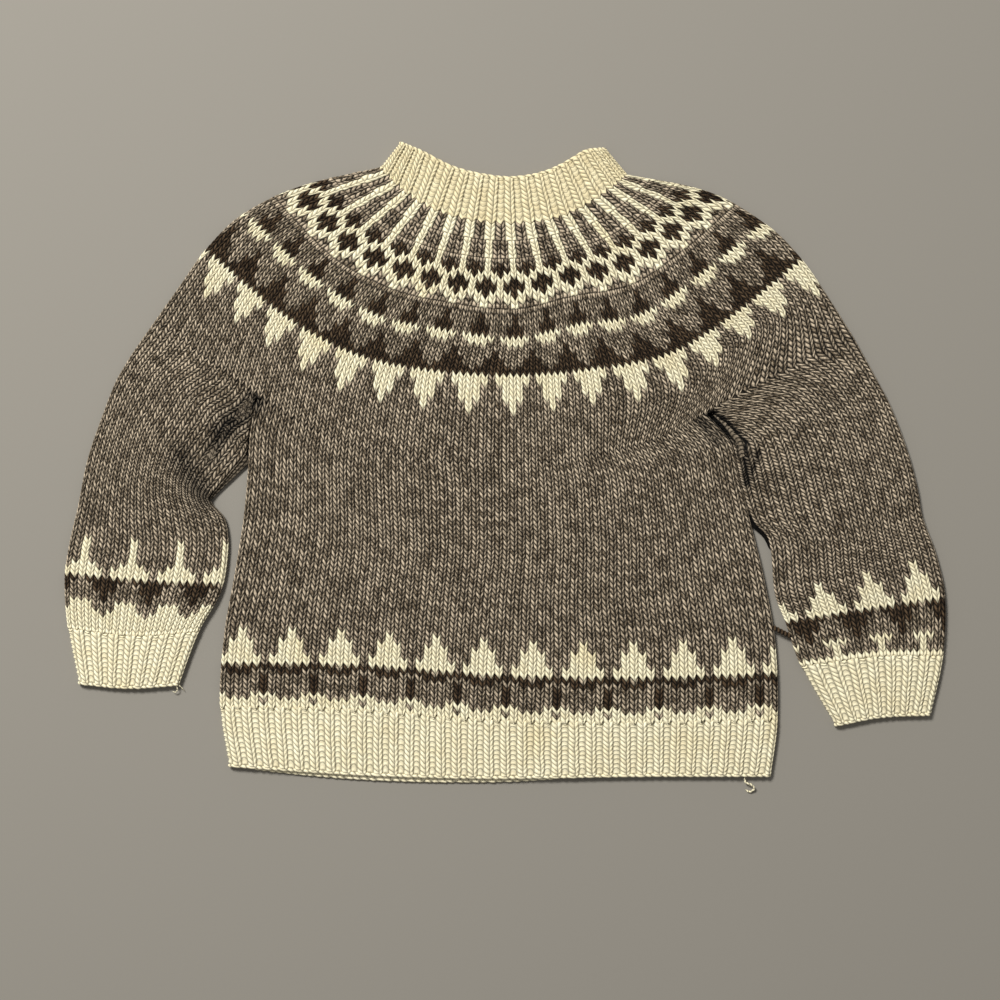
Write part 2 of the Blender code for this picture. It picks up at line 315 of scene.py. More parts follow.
# How strands lie: their slant, in rows, and how far a rib's knitted stitches spread and sink
DROP = 1.2
RIB_SPREAD = 0.12
RIB_EDGE_SINK = 1.3
LOWEST_CREASE = -2.0

# Ramps, in rows: purled strands, a zone's calm ends, an armpit's fold and an open edge
PURL_ROWS = 1.2
CALM_ROWS = 1.6
ARMPIT_ROWS = 4
OPEN_ROWS = 0.7
OPEN_LEVEL = 0.3
OPEN_SINK = 1.4

# The uneven hand, in millimetres across, along and outwards
HAND = (0.3, 0.28, 0.16)

# Places along a row at which its length is measured
SPREAD_SAMPLES = 161

# Round strands: the chain that casts off an open end, then the loose ends
CORD_SIDES = 8
CHAIN_RADIUS = 1.55
CHAIN_HEIGHT = 1.9
CHAIN_INSET = 1.1
CHAIN_STEPS = 4
CHAIN_UNEVEN = 0.12
CHAIN_BACK = 0.1
LOOSE_STEPS = 8
LOOSE_TIP = 0.35
LOOSE_TIP_LENGTH = 0.6
LOOSE_TWIST = 1.6

# What the wool reads: the relief, whose low values paint shade, of plain sides, of rows at a join
# and of creases, where it goes below zero to paint black shadow, and the code of a rib's knitted
# stitches
BACK_RELIEF = 0.8
INNER_RELIEF = 0.45
BRIDGE = 0.75
CREASE_SHADE_DEPTH = 3.6
CREASE_SHADE_SHARE = 1.5
RIB_KNIT = 0.25

# The webs under the arms, strips of knitting painted dark as the shadow in the gaps between body
# and
# sleeve: their lines, their reach from the sleeve by height, their painted shade, and the stretch
# of them that the floor's light reaches, which is left without painted shadow
WEB_TOP = 61
WEB_HEIGHTS = 34
WEB_ROWS = 40
WEB_SAMPLES = 400
WEB_INSET = 2.6
WEB_LOW = 1.2
WEB_HIGH = 3.3
LEFT_WEB_REACH = ((-35, 0, 4), (4, 12, 60))
RIGHT_WEB_REACH = ((-80, -54, -50), (4, 10, 60))
WEB_RELIEF = 0.4
WEB_SHADE = -0.5
WEB_SHADOW_ABOVE = 4.0
WEB_SHADOW_BELOW = -46.0

# The forms of the stitches
STOCKING_FORM = StitchForm()
PURL_FORM = StitchForm(
    columns=(0.0, 0.16, 0.33, 0.5, 0.67, 0.84),
    along=(0.0, 0.5, 0.9, 1.0, 0.9, 0.5),
    across=(0.05, 1.0, 0.75),
    purl=1.0,
    rise=1.4,
    sink=1.5,
)
RIB_KNIT_FORM = StitchForm(rise=1.8, sink=0.5)
SUB_COLUMNS = len(STOCKING_FORM.columns)
SUB_ROWS = len(STOCKING_FORM.across)


def stitch_slant(inside: np.ndarray) -> np.ndarray:
    """Height of a strand above its row's middle, in drops, across a stitch."""
    return np.interp(inside, (0.0, 0.62, 1.0), (0.5, -0.5, 0.5))


def smooth_curve(knots: tuple, values: np.ndarray, at: np.ndarray) -> np.ndarray:
    """Points on the smooth curves through some values.

    Args:
        knots: increasing knot values.
        values: one value at each knot, or one for each of many curves.
        at: where to read, of any shape; the values' middle axes match it, or are left out.

    Returns:
        The points, of the shape of at with the values' last axis added.
    """
    knots = np.asarray(knots, float)
    last = len(knots) - 1
    low = np.maximum(np.arange(last + 1) - 1, 0)
    high = np.minimum(np.arange(last + 1) + 1, last)
    steps = (knots[high] - knots[low]).reshape(-1, *([1] * (values.ndim - 1)))
    slopes = (values[high] - values[low]) / steps
    span = np.clip(np.searchsorted(knots, at, side="right") - 1, 0, last - 1)
    width = (knots[span + 1] - knots[span])[..., None]
    t = ((at - knots[span]) / width[..., 0])[..., None]

    def pick(source: np.ndarray, index: np.ndarray) -> np.ndarray:
        """Entries of source at an index for each place."""
        if source.ndim == 2:
            return source[index]
        return np.take_along_axis(source, index[None, ..., None], axis=0)[0]

    return (
        pick(values, span) * (2 * t**3 - 3 * t**2 + 1)
        + pick(slopes, span) * (width * (t**3 - 2 * t**2 + t))
        + pick(values, span + 1) * (3 * t**2 - 2 * t**3)
        + pick(slopes, span + 1) * (width * (t**3 - t**2))
    )


def smooth_step(value: np.ndarray) -> np.ndarray:
    """A soft ramp from 0 to 1."""
    held = np.clip(value, 0.0, 1.0)
    return held * held * (3 - 2 * held)


def record_line(record: tuple, knots: tuple, at: np.ndarray) -> np.ndarray:
    """Places along one row of a table."""
    return smooth_curve(knots, np.array(record[1:], float), at)


def yoke_places(rows: np.ndarray, repeats: np.ndarray) -> np.ndarray:
    """Places on the yoke's front, by rows above the join and pattern repeats."""
    lines = np.stack([record_line(ring, YOKE_AT, repeats) for ring in YOKE_RINGS])
    return smooth_curve([ring.row for ring in YOKE_RINGS], lines, rows)


def neck_places(rows: np.ndarray, repeats: np.ndarray) -> np.ndarray:
    """Places on the neckband's front, by rows above the yoke and pattern repeats."""
    share = (rows / NECK_EDGE.row)[..., None]
    low = record_line(YOKE_RINGS[-1], YOKE_AT, repeats)
    return low + (record_line(NECK_EDGE, YOKE_AT, repeats) - low) * share


def hanging_places(
    table: tuple, first: float, last: float, from_right: bool = False
) -> Callable[[np.ndarray, np.ndarray], np.ndarray]:
    """Function of rows and shares of width for the places on a tube that hangs from the yoke."""
    count = len(table[0]) - 2
    knots = np.linspace(0, 1, count + 1)
    starts = [0.0] + [record.row for record in table]

    def places(rows: np.ndarray, shares: np.ndarray) -> np.ndarray:
        """Places by rows below the join and shares of the width; above the join, the yoke's."""
        across = 1 - shares if from_right else shares
        repeats = first + shares * (last - first)
        top = smooth_curve(YOKE_AT, np.array(YOKE_RINGS[0][1:], float), repeats)
        lines = np.stack([top] + [record_line(record, knots, across) for record in table])
        hung = smooth_curve(starts, lines, np.maximum(rows, 0))
        above = yoke_places(np.maximum(-rows, 0), repeats)
        return np.where((rows < 0)[..., None], above, hung)

    return places


body_places = hanging_places(BODY_COURSES, LEFT_ARMPIT, RIGHT_ARMPIT)
left_places = hanging_places(LEFT_REACHES, LEFT_FOLD, LEFT_ARMPIT)
right_places = hanging_places(RIGHT_REACHES, RIGHT_ARMPIT, RIGHT_FOLD, from_right=True)


def whole_yoke_places(rows: np.ndarray, repeats: np.ndarray) -> np.ndarray:
    """Places on the yoke, or just below the join on the tube that hangs there."""
    found = yoke_places(np.maximum(rows, 0), repeats)
    below = np.maximum(-rows, 0)
    for places, first, last in (
        (left_places, LEFT_FOLD, LEFT_ARMPIT),
        (body_places, LEFT_ARMPIT, RIGHT_ARMPIT),
        (right_places, RIGHT_ARMPIT, RIGHT_FOLD),
    ):
        here = (rows < 0) & (repeats >= first) & (repeats <= last)
        share = np.clip((repeats - first) / (last - first), 0, 1)
        found = np.where(here[..., None], places(below, share), found)
    return found


def fold_height(fold: Fold, places: np.ndarray) -> np.ndarray:
    """Height of one fold at some places."""
    start = np.array(fold.start, float)
    along = np.array(fold.end, float) - start
    share = np.clip((places - start) @ along / (along @ along), 0, 1)
    away = np.linalg.norm(places - start - share[..., None] * along, axis=-1) / fold.half_width
    return fold.rise * np.exp(-away * away)


def fold_rise(places: np.ndarray) -> np.ndarray:
    """Height that the soft folds add to the front layer at some places."""
    return np.sqrt(sum(fold_height(fold, places) ** 2 for fold in FOLDS))


def hollow_depth(places: np.ndarray) -> np.ndarray:
    """Depth that the creases take from the front layer at some places."""
    return np.max([fold_height(fold, places) for fold in HOLLOWS], axis=0)


def swell(places: np.ndarray) -> np.ndarray:
    """Gentle unevenness of cloth that lies flat, in millimetres."""
    x, y = places[..., 0], places[..., 1]
    return (
        0.35 * np.sin(x / 37 + 1.3 * np.sin(y / 61)) * np.cos(y / 43)
        + 0.25 * np.sin(x / 19 - y / 27)
    )


def back_hem(shares: np.ndarray) -> np.ndarray:
    """How far the back's hem lies below the front's, across the width."""
    low, high = BACK_HEM_SPAN
    inside = np.clip((shares - low) / (high - low), 0, 1)
    return BACK_HEM_DROP * np.sqrt(np.abs(np.sin(math.pi * inside)))


@dataclass
class Zone:
    """A stretch of knitting with one stitch count.

    Rows are counted as its tube counts them. Edges are the stitches' boundaries, in the tube's
    own measure across.
    """

    first: float
    last: float
    rows: int
    edges: np.ndarray
    chart: Chart
    knit: Knit = Knit.STOCKING
    calm_start: float = 1.0
    calm_end: float = 1.0
    v_start: int = 0

    @property
    def stitches(self) -> int:
        """Number of stitches across the front."""
        return len(self.edges) - 1

    @property
    def pitch(self) -> float:
        """Spacing of its rows, as its tube counts them."""
        return (self.last - self.first) / self.rows

    def columns(self, u: np.ndarray) -> np.ndarray:
        """Where some counts of stitches lie, in the tube's own measure."""
        return np.interp(u, np.arange(self.stitches + 1), self.edges)

    def uv(self, u: np.ndarray, row_at: np.ndarray) -> np.ndarray:
        """Stitch and row of each point of a grid."""
        grid = np.broadcast_arrays(u[None, :], self.v_start + row_at[:, None])
        return np.stack(grid, -1).astype(float)

    def calmed(self, row_at: np.ndarray) -> np.ndarray:
        """Share of the strands' slant at each row, which dies down at its calm ends."""
        start, end = self.calm_start, self.calm_end
        return np.minimum(
            start + (1 - start) * smooth_step(row_at / CALM_ROWS),
            end + (1 - end) * smooth_step((self.rows - row_at) / CALM_ROWS),
        )


def uneven_hand(zone: Zone, u: np.ndarray, row_at: np.ndarray,
                generator: np.random.Generator) -> np.ndarray:
    """Shifts of the points of a zone's front, from one draw for each corner of a stitch.

    Args:
        zone: the stretch of knitting, which is even along its border.
        u: each column's count of stitches.
        row_at: each line's count of rows.
        generator: source of the draws.

    Returns:
        Shifts to the right, towards the neck and outwards, as rows by columns by 3.
    """
    rows, stitches = zone.rows, zone.stitches
    shifts = generator.normal(0, 1, (rows + 1, stitches + 1, 3)) * HAND
    shifts[0] = shifts[-1] = 0
    shifts[:, 0] = shifts[:, -1] = 0
    near_u = np.minimum(u.astype(int), stitches - 1)
    near_v = np.minimum(row_at.astype(int), rows - 1)
    fu = (u - near_u)[None, :, None]
    fv = (row_at - near_v)[:, None, None]
    return (
        shifts[np.ix_(near_v, near_u)] * (1 - fu) * (1 - fv)
        + shifts[np.ix_(near_v, near_u + 1)] * fu * (1 - fv)
        + shifts[np.ix_(near_v + 1, near_u)] * (1 - fu) * fv
        + shifts[np.ix_(near_v + 1, near_u + 1)] * fu * fv
    )


@dataclass
class Shell:
    """A mesh in the making: points, triangles and what each of them carries."""

    points: list = field(default_factory=list)
    relief: list = field(default_factory=list)
    uv: list = field(default_factory=list)
    faces: list = field(default_factory=list)
    yarn: list = field(default_factory=list)
    count: int = 0

    def add_points(self, points: np.ndarray, relief: np.ndarray, uv: np.ndarray) -> np.ndarray:
        """Adds a block of points and returns their numbers in the block's shape."""
        shape = points.shape[:-1]
        total = int(np.prod(shape))
        self.points.append(points.reshape(total, 3))
        self.relief.append(np.broadcast_to(relief, shape).reshape(total))
        self.uv.append(uv.reshape(total, 2))
        numbers = np.arange(self.count, self.count + total).reshape(shape)
        self.count += total
        return numbers

    def add_faces(self, faces: np.ndarray, yarn: np.ndarray) -> None:
        """Adds triangles, with one yarn colour code each or one for all."""
        faces = np.asarray(faces, dtype=np.int64).reshape(-1, 3)
        self.faces.append(faces)
        self.yarn.append(np.broadcast_to(yarn, (len(faces), 4)))

    def build(self, name: str) -> bpy.types.Object:
        """Makes the mesh object.

        Args:
            name: the object's name.

        Returns:
            The object, linked to the scene.
        """
        points = np.concatenate(self.points)
        faces = np.concatenate(self.faces)
        yarn = np.concatenate(self.yarn)
        relief = np.concatenate(self.relief)
        uv = np.concatenate(self.uv)
        points[:, :2] -= CENTRE
        data = bpy.data.meshes.new(name)
        data.vertices.add(len(points))
        data.vertices.foreach_set("co", (points * MM).astype(np.float32).ravel())
        data.loops.add(faces.size)
        data.loops.foreach_set("vertex_index", faces.astype(np.int32).ravel())
        data.polygons.add(len(faces))
        data.polygons.foreach_set("loop_start", np.arange(0, faces.size, 3, dtype=np.int32))
        data.update(calc_edges=True)
        data.validate(clean_customdata=False)
        data.shade_smooth()
        colour = data.attributes.new("yarn", "FLOAT_COLOR", "CORNER")
        colour.data.foreach_set("color", np.repeat(yarn, 3, axis=0).astype(np.float32).ravel())
        height = data.attributes.new("relief", "FLOAT", "POINT")
        height.data.foreach_set("value", relief.astype(np.float32))
        layer = data.uv_layers.new(name="knit")
        layer.data.foreach_set("uv", uv[faces.ravel()].astype(np.float32).ravel())
        thing = bpy.data.objects.new(name, data)
        bpy.context.scene.collection.objects.link(thing)
        return thing


def cell_triangles(numbers: np.ndarray, points: np.ndarray, flip: bool) -> np.ndarray:
    """Two triangles for each cell of a grid, split along the shorter diagonal.

    Args:
        numbers: the points' numbers, as a grid.
        points: their places.
        flip: turns every face over.

    Returns:
        Triangles as an array of rows by columns by 2 by 3.
    """
    a, b = numbers[:-1, :-1], numbers[:-1, 1:]
    d, c = numbers[1:, :-1], numbers[1:, 1:]
    first = np.linalg.norm(points[:-1, :-1] - points[1:, 1:], axis=-1)
    second = np.linalg.norm(points[:-1, 1:] - points[1:, :-1], axis=-1)
    one = np.stack([np.stack([a, b, c], -1), np.stack([a, c, d], -1)], -2)
    two = np.stack([np.stack([a, b, d], -1), np.stack([b, c, d], -1)], -2)
    faces = np.where((first < second)[..., None, None], one, two)
    return faces[..., ::-1] if flip else faces


class Loop(NamedTuple):
    """A closed loop of points: their numbers, how far round each lies (0 to 2), their yarns."""

    numbers: np.ndarray
    round_at: np.ndarray
    yarn: np.ndarray


def join_loops(shell: Shell, low: Loop, high: Loop, flip: bool) -> None:
    """Adds triangles between two closed loops of points with different counts.

    Args:
        shell: the mesh that they belong to.
        low: the first loop.
        high: the second loop.
        flip: turns every face over.
    """
    faces = []
    yarn = []
    i = 0
    j = 0
    low_count, high_count = len(low.numbers), len(high.numbers)
    low_next = np.append(low.round_at[1:], 2.0)
    high_next = np.append(high.round_at[1:], 2.0)
    while i < low_count or j < high_count:
        a = low.numbers[i % low_count]
        b = high.numbers[j % high_count]
        if j >= high_count or (i < low_count and low_next[i] <= high_next[j]):
            yarn.append(low.yarn[i])
            i += 1
            faces.append((a, low.numbers[i % low_count], b))
        else:
            yarn.append(high.yarn[j])
            j += 1
            faces.append((a, high.numbers[j % high_count], b))
    found = np.array(faces)
    shell.add_faces(found[:, ::-1] if flip else found, np.array(yarn))


def add_caps(shell: Shell, numbers: np.ndarray, yarn: np.ndarray) -> None:
    """Closes both ends of a tube of points, whose last column repeats its first."""
    corners = numbers.shape[1] - 1
    for ring, order in ((numbers[0], 1), (numbers[-1], -1)):
        fan = [(ring[0], ring[k], ring[k + 1]) for k in range(1, corners - 1)]
        shell.add_faces(np.array(fan)[:, ::order], yarn)


def add_cord(
    shell: Shell, path: np.ndarray, radius: float, yarn: np.ndarray, u: np.ndarray,
    closed: bool = True, taper: np.ndarray | None = None,
) -> None:
    """Adds a round strand along a path, with diagonal grooves.

    Args:
        shell: the mesh that it belongs to.
        path: its places.
        radius: its radius.
        yarn: its colour code.
        u: its own measure along the path; a groove starts at each whole number.
        closed: joins the last place to the first.
        taper: share of the radius at each place.
    """
    if closed:
        ahead = np.roll(path, -1, axis=0) - np.roll(path, 1, axis=0)
    else:
        ahead = np.gradient(path, axis=0)
    ahead /= np.linalg.norm(ahead, axis=1, keepdims=True)
    side = np.cross(ahead, (0.0, 0.0, 1.0))
    side /= np.maximum(np.linalg.norm(side, axis=1, keepdims=True), 1e-6)
    up = np.cross(side, ahead)
    turn = np.linspace(0, math.tau, CORD_SIDES + 1)
    twist = u[:, None] + turn[None, :] / math.tau
    groove = 0.5 - 0.5 * np.cos(math.tau * twist)
    size = radius * (0.8 + 0.3 * groove)
    if taper is not None:
        size = size * taper[:, None]
    points = (
        path[:, None] + side[:, None] * (np.cos(turn)[None, :] * size)[..., None]
        + up[:, None] * (np.sin(turn)[None, :] * size)[..., None]
    )
    points[..., 2] = np.maximum(points[..., 2], 0.0)
    uv = np.stack([np.full(twist.shape, 0.3), twist], -1)
    numbers = shell.add_points(points, np.clip(groove, 0.1, 1), uv)
    numbers[:, -1] = numbers[:, 0]
    if closed:
        numbers = np.vstack([numbers, numbers[:1]])
        points = np.concatenate([points, points[:1]])
    faces = cell_triangles(numbers, points, True)
    shell.add_faces(faces, yarn)
    if not closed:
        add_caps(shell, numbers, yarn)


def add_shadow_web(shell: Shell, near: np.ndarray, far: np.ndarray) -> None:
    """Adds a thin closed strip of knitting between two lines of places, painted black as shadow
    outside the stretch that the floor's light reaches.

    Args:
        shell: the mesh that it belongs to.
        near: the places of one side.
        far: the places of the other side.
    """
    rings = np.empty((len(near), 5, 3))
    for k, (line, height) in enumerate((
        (near, WEB_LOW), (near, WEB_HIGH), (far, WEB_HIGH), (far, WEB_LOW),
    )):
        rings[:, k, :2] = line
        rings[:, k, 2] = height
    rings[:, 4] = rings[:, 0]
    u, v = np.meshgrid(np.arange(5) * 1.0, np.arange(len(near)) * 0.8)
    # Painted shadow: outside the lit stretch the relief goes below zero, which the wool paints
    # black
    shaded = (rings[..., 1] > WEB_SHADOW_ABOVE) | (rings[..., 1] < WEB_SHADOW_BELOW)
    relief = np.where(shaded, WEB_SHADE, WEB_RELIEF)
    numbers = shell.add_points(rings, relief, np.stack([u, v], -1))
    numbers[:, 4] = numbers[:, 0]
    yarn = np.array((0.0, 0.0, 0.4, 0.0))
    shell.add_faces(cell_triangles(numbers, rings, False), yarn)
    add_caps(shell, numbers, yarn)


def underarm_shadow_web(right: bool) -> tuple:
    """Both side lines of the web that joins body and sleeve under an arm, painted dark as the
    shadow in the gap between them.

    Args:
        right: the arm on the right, or else the one on the left.

    Returns:
        The places of its left line and of its right line, from the top down.
    """
    reaches = RIGHT_WEB_REACH if right else LEFT_WEB_REACH
    heights = np.linspace(WEB_TOP, reaches[0][0], WEB_HEIGHTS)
    rows = np.linspace(0, WEB_ROWS, WEB_SAMPLES)
    edge = np.full(WEB_SAMPLES, 1.0 if right else 0.0)
    sleeve_places = right_places if right else left_places
    sign = 1.0 if right else -1.0
    lines = []
    for line, inset in (
        (body_places(rows, edge), -WEB_INSET * sign),
        (sleeve_places(rows, 1 - edge), WEB_INSET * sign),
    ):
        x = np.interp(-heights, -line[:, 1], line[:, 0]) + inset
        lines.append(np.stack([x, heights], -1))
    body, sleeve = lines
    reach = np.interp(heights, *reaches)
    if right:
        body[:, 0] = np.maximum(body[:, 0], sleeve[:, 0] - reach)
        return body, sleeve
    body[:, 0] = np.minimum(body[:, 0], sleeve[:, 0] + reach)
    return sleeve, body


class Spread(NamedTuple):
    """Where the columns of one row lie: in the tube's measure, with the fold's angle and side."""

    measure: np.ndarray
    angle: np.ndarray
    side: np.ndarray


@dataclass
class KnitTube:
    """One knitted tube of the sweater, pressed flat: front over back.

    Its zones run in the order in which its rows are counted. Places gives the front's places
    from rows and its own measure across, which runs from low to high. Wrap is the share of the
    front's stitches that start under the right (positive) or left (negative) side fold.
    """

    name: str
    node: str
    slot: str
    flat: tuple
    area: float | None
    places: Callable[[np.ndarray, np.ndarray], np.ndarray]
    zones: list
    counted: Rows
    seed: int
    low: float = 0.0
    high: float = 1.0
    open_end: bool = False
    armpit_left: bool = False
    armpit_right: bool = False
    back_drop: Callable[[np.ndarray], np.ndarray] | None = None
    wrap: float = 0.0
    wrap_rows: float = 12.0
    creased: bool = False
    strands: tuple = ()
    # Underarm webs, painted dark as the shadow in the gaps beside the tube
    shadow_webs: tuple = ()
    inner_columns: int = 20
    inner_row: float = 5.0

    def share(self, measure: np.ndarray) -> np.ndarray:
        """Share of the width at some places of the tube's measure."""
        return (measure - self.low) / (self.high - self.low)

    def drop_back(self, places: np.ndarray, measure: np.ndarray,
                  down: np.ndarray | float) -> None:
        """Lowers places of the back layer, by a part of the drop at the open end."""
        if self.back_drop is not None:
            places[..., 1] -= self.back_drop(self.share(measure)) * down

    def row_round(self, row: float, left: bool) -> float:
        """Radius of a side fold at a row, which grows out of nothing at an armpit."""
        at_armpit = self.armpit_left if left else self.armpit_right
        if not at_armpit:
            return FOLD_ROUND
        return ARMPIT_ROUND + (FOLD_ROUND - ARMPIT_ROUND) * float(
            smooth_step(np.array(row / ARMPIT_ROWS)))

    def spread_row(self, row: float, across: np.ndarray, front: bool) -> Spread:
        """One row of columns, laid round the side folds.

        Args:
            row: the row that they lie on.
            across: the columns, in the tube's own measure.
            front: whether they belong to the front or to the back.

        Returns:
            Where they lie. The angle is 0 at a fold's outermost line, positive above it.
        """
        measure = np.linspace(self.low, self.high, SPREAD_SAMPLES)
        middle = self.places(np.full(SPREAD_SAMPLES, max(row, 0.0)), measure)
        steps = np.linalg.norm(np.diff(middle, axis=0), axis=1)
        lengths = np.concatenate([[0.0], np.cumsum(steps)])
        whole = lengths[-1]
        left = self.row_round(row, True)
        right = self.row_round(row, False)
        extra = math.pi / 2 - 1
        total = whole + extra * (left + right)
        under = abs(self.wrap) * (1 - float(smooth_step(np.array(row / self.wrap_rows)))) * total
        first, last = 0.0, total
        sign = 1.0 if front else -1.0
        if self.wrap > 0:
            last += sign * under
        elif self.wrap < 0:
            first -= sign * under
        share = np.interp(across, measure, lengths / whole)
        arc = first + share * (last - first)
        back = total - arc
        near, far = np.abs(arc), np.abs(back)
        from_left = np.where(
            near < left * math.pi / 2, left * (1 - np.cos(near / left)), near - left * extra
        )
        from_right = np.where(
            far < right * math.pi / 2, right * (1 - np.cos(far / right)), far - right * extra
        )
        near_left = arc < back
        reach = np.where(near_left, from_left, whole - from_right)
        angle = np.where(near_left, arc / left, back / right)
        angle = np.clip(angle, -math.pi / 2, math.pi / 2)
        return Spread(
            np.interp(reach, lengths, measure), angle, np.where(near_left, -1.0, 1.0)
        )

    def spread_rows(self, rows: np.ndarray, across: np.ndarray, lifted: np.ndarray,
                    front: bool) -> Spread:
        """Columns of several rows, each followed along its wale to where it is lifted.

        Args:
            rows: evenly spaced rows.
            across: the columns, in the tube's own measure.
            lifted: the row of each point, rows by columns.
            front: whether they belong to the front or to the back.

        Returns:
            Where they lie.
        """
        lines = [self.spread_row(row, across, front) for row in rows]
        at = np.clip((lifted - rows[0]) / (rows[1] - rows[0]), 0, len(rows) - 1)
        low = np.minimum(at.astype(int), len(rows) - 2)
        share = at - low
        column = np.broadcast_to(np.arange(len(across)), lifted.shape)
        found = []
        for part in range(2):
            grid = np.stack([line[part] for line in lines])
            found.append(grid[low, column] * (1 - share) + grid[low + 1, column] * share)
        return Spread(*found, np.stack([line.side for line in lines])[low, column])

    def with_crease_shade(self, relief: np.ndarray, places: np.ndarray) -> np.ndarray:
        """Relief lowered in the creases, below zero where they are deep, to paint shade and shadow
        there.
        """
        if not self.creased:
            return relief
        return relief - CREASE_SHADE_SHARE * np.clip(hollow_depth(places) / CREASE_SHADE_DEPTH, 0, 1)

    def front(self, zone: Zone, shell: Shell, generator: np.random.Generator) -> tuple:
        """Adds the fine front of a zone.

        Args:
            zone: the stretch of knitting.
            shell: the mesh that it goes to.
            generator: source of the uneven hand.

        Returns:
            The points' numbers, their columns and each stitch's yarn.
        """
        rows, stitches = zone.rows, zone.stitches
        forms = [RIB_KNIT_FORM if s % 2 else PURL_FORM for s in range(stitches)]
        if zone.knit is Knit.STOCKING:
            forms = [STOCKING_FORM] * stitches
        index = np.arange(stitches * SUB_COLUMNS + 1)
        stitch = np.minimum(index // SUB_COLUMNS, stitches - 1)
        sub = index % SUB_COLUMNS
        inside = np.array([forms[s].columns[k] for s, k in zip(stitch, sub)])
        along = np.array([forms[s].along[k] for s, k in zip(stitch, sub)])
        purl = np.array([forms[s].purl for s in stitch])
        rise = np.array([forms[s].rise for s in stitch])
        sink = np.array([forms[s].sink for s in stitch])
        if zone.knit is Knit.RIB:
            sink[sub == 0] = RIB_EDGE_SINK
            purl[sub == 0] = 1.0
        u = index // SUB_COLUMNS + inside
        across = zone.columns(u)

        line = np.arange(rows * SUB_ROWS + 1)
        row_at = line / SUB_ROWS
        threads = np.array([[forms[s].across[k] for s in stitch] for k in range(SUB_ROWS)])
        threads = threads[line % SUB_ROWS]
        slant = stitch_slant(inside)[None, :]
        level = purl[None, :] * smooth_step(row_at / PURL_ROWS)[:, None]
        slant = slant * (1 - level) + 0.5 * level
        lift = slant * DROP * zone.calmed(row_at)[:, None] * zone.pitch
        base_row = zone.first + row_at * zone.pitch
        row_grid = base_row[:, None] + self.counted.value * lift

        jitter = uneven_hand(zone, u, row_at, generator)
        spread = self.spread_rows(base_row, across, row_grid, True)
        places = self.places(row_grid, spread.measure)
        ahead = np.gradient(places, axis=1)
        ahead /= np.maximum(np.linalg.norm(ahead, axis=-1, keepdims=True), 1e-9)
        bridge = np.zeros_like(row_at)
        bridge[0] = float(0 < zone.calm_start < 1)
        bridge[-1] = float(0 < zone.calm_end < 1)
        height = along[None, :] * np.maximum(threads, BRIDGE * bridge[:, None])
        fade = np.ones_like(row_at)
        if self.open_end and zone is self.zones[-1]:
            ramp = smooth_step((rows - row_at) / OPEN_ROWS)
            fade = np.minimum(fade, OPEN_LEVEL + (1 - OPEN_LEVEL) * ramp)
        sunk = sink[None, :] + (1 - fade)[:, None] * OPEN_SINK
        proud = rise[None, :] * height - sunk + jitter[..., 2]
        up, out = np.sin(spread.angle), np.cos(spread.angle)
        over = np.maximum(up, 0)
        points = np.empty((*places.shape[:-1], 3))
        sideways = spread.side * out * proud + jitter[..., 0] * over
        points[..., :2] = places + ahead * sideways[..., None]
        points[..., 1] += jitter[..., 1] * over
        points[..., 2] = FOLD_ROUND + up * (FOLD_ROUND + proud)
        lifted = fold_rise(places) + swell(places)
        if self.creased:
            lifted -= hollow_depth(places)
        points[..., 2] += np.maximum(lifted, LOWEST_CREASE) * over**2
        points[..., 2] = np.maximum(points[..., 2], 0.0)

        relief = np.clip(height * fade[:, None], 0, 1) + bridge[:, None]
        numbers = shell.add_points(points, self.with_crease_shade(relief, places), zone.uv(u, row_at))
        faces = cell_triangles(numbers, points, self.counted is Rows.DOWN)
        faces = faces.reshape(rows, SUB_ROWS, stitches, SUB_COLUMNS, 2, 3)
        codes = np.empty((rows, stitches, 4))
        codes[..., :2] = zone.chart.codes(rows, stitches)
        codes[..., 2] = generator.random((rows, stitches))
        least = RIB_KNIT if zone.knit is Knit.RIB else 0.0
        codes[..., 3] = np.array([max(form.purl, least) for form in forms])
        shell.add_faces(faces, np.broadcast_to(
            codes[:, None, :, None, None, :], (*faces.shape[:5], 4)
        ).reshape(-1, 4))
        return numbers, across, codes, stitch

    def back(self, zone: Zone, shell: Shell, front: tuple,
             generator: np.random.Generator) -> tuple:
        """Adds the flat back of a zone, joined to its front's side columns.

        Args:
            zone: the stretch of knitting.
            shell: the mesh that it goes to.
            front: what the front gave.
            generator: source of the uneven hand.

        Returns:
            The points' numbers, their columns and each stitch's yarn.
        """
        fine, _, front_codes, _ = front
        rows, stitches = zone.rows, zone.stitches
        u = np.append(np.repeat(np.arange(stitches), 2) + np.tile((0.0, 0.62), stitches), stitches)
        u = u[1:-1]
        row_at = np.arange(rows + 1.0)
        across = zone.columns(u)
        base_row = zone.first + row_at * zone.pitch
        slant = stitch_slant(u % 1)
        if zone.knit is Knit.RIB:
            slant = np.where(u.astype(int) % 2 == 0, 0.5, slant)
        lift = slant[None, :] * DROP * zone.calmed(row_at)[:, None] * zone.pitch
        row_grid = base_row[:, None] + self.counted.value * lift
        spread = self.spread_rows(base_row, across, row_grid, False)
        places = self.places(row_grid, spread.measure)
        self.drop_back(places, spread.measure, (row_at / rows)[:, None])
        points = np.empty((*places.shape[:-1], 3))
        points[..., :2] = places
        points[..., 2] = FOLD_ROUND - FOLD_ROUND * np.sin(spread.angle)
        relief = self.with_crease_shade(np.full(places.shape[:-1], BACK_RELIEF), places)
        numbers = shell.add_points(points, relief, zone.uv(u, row_at))

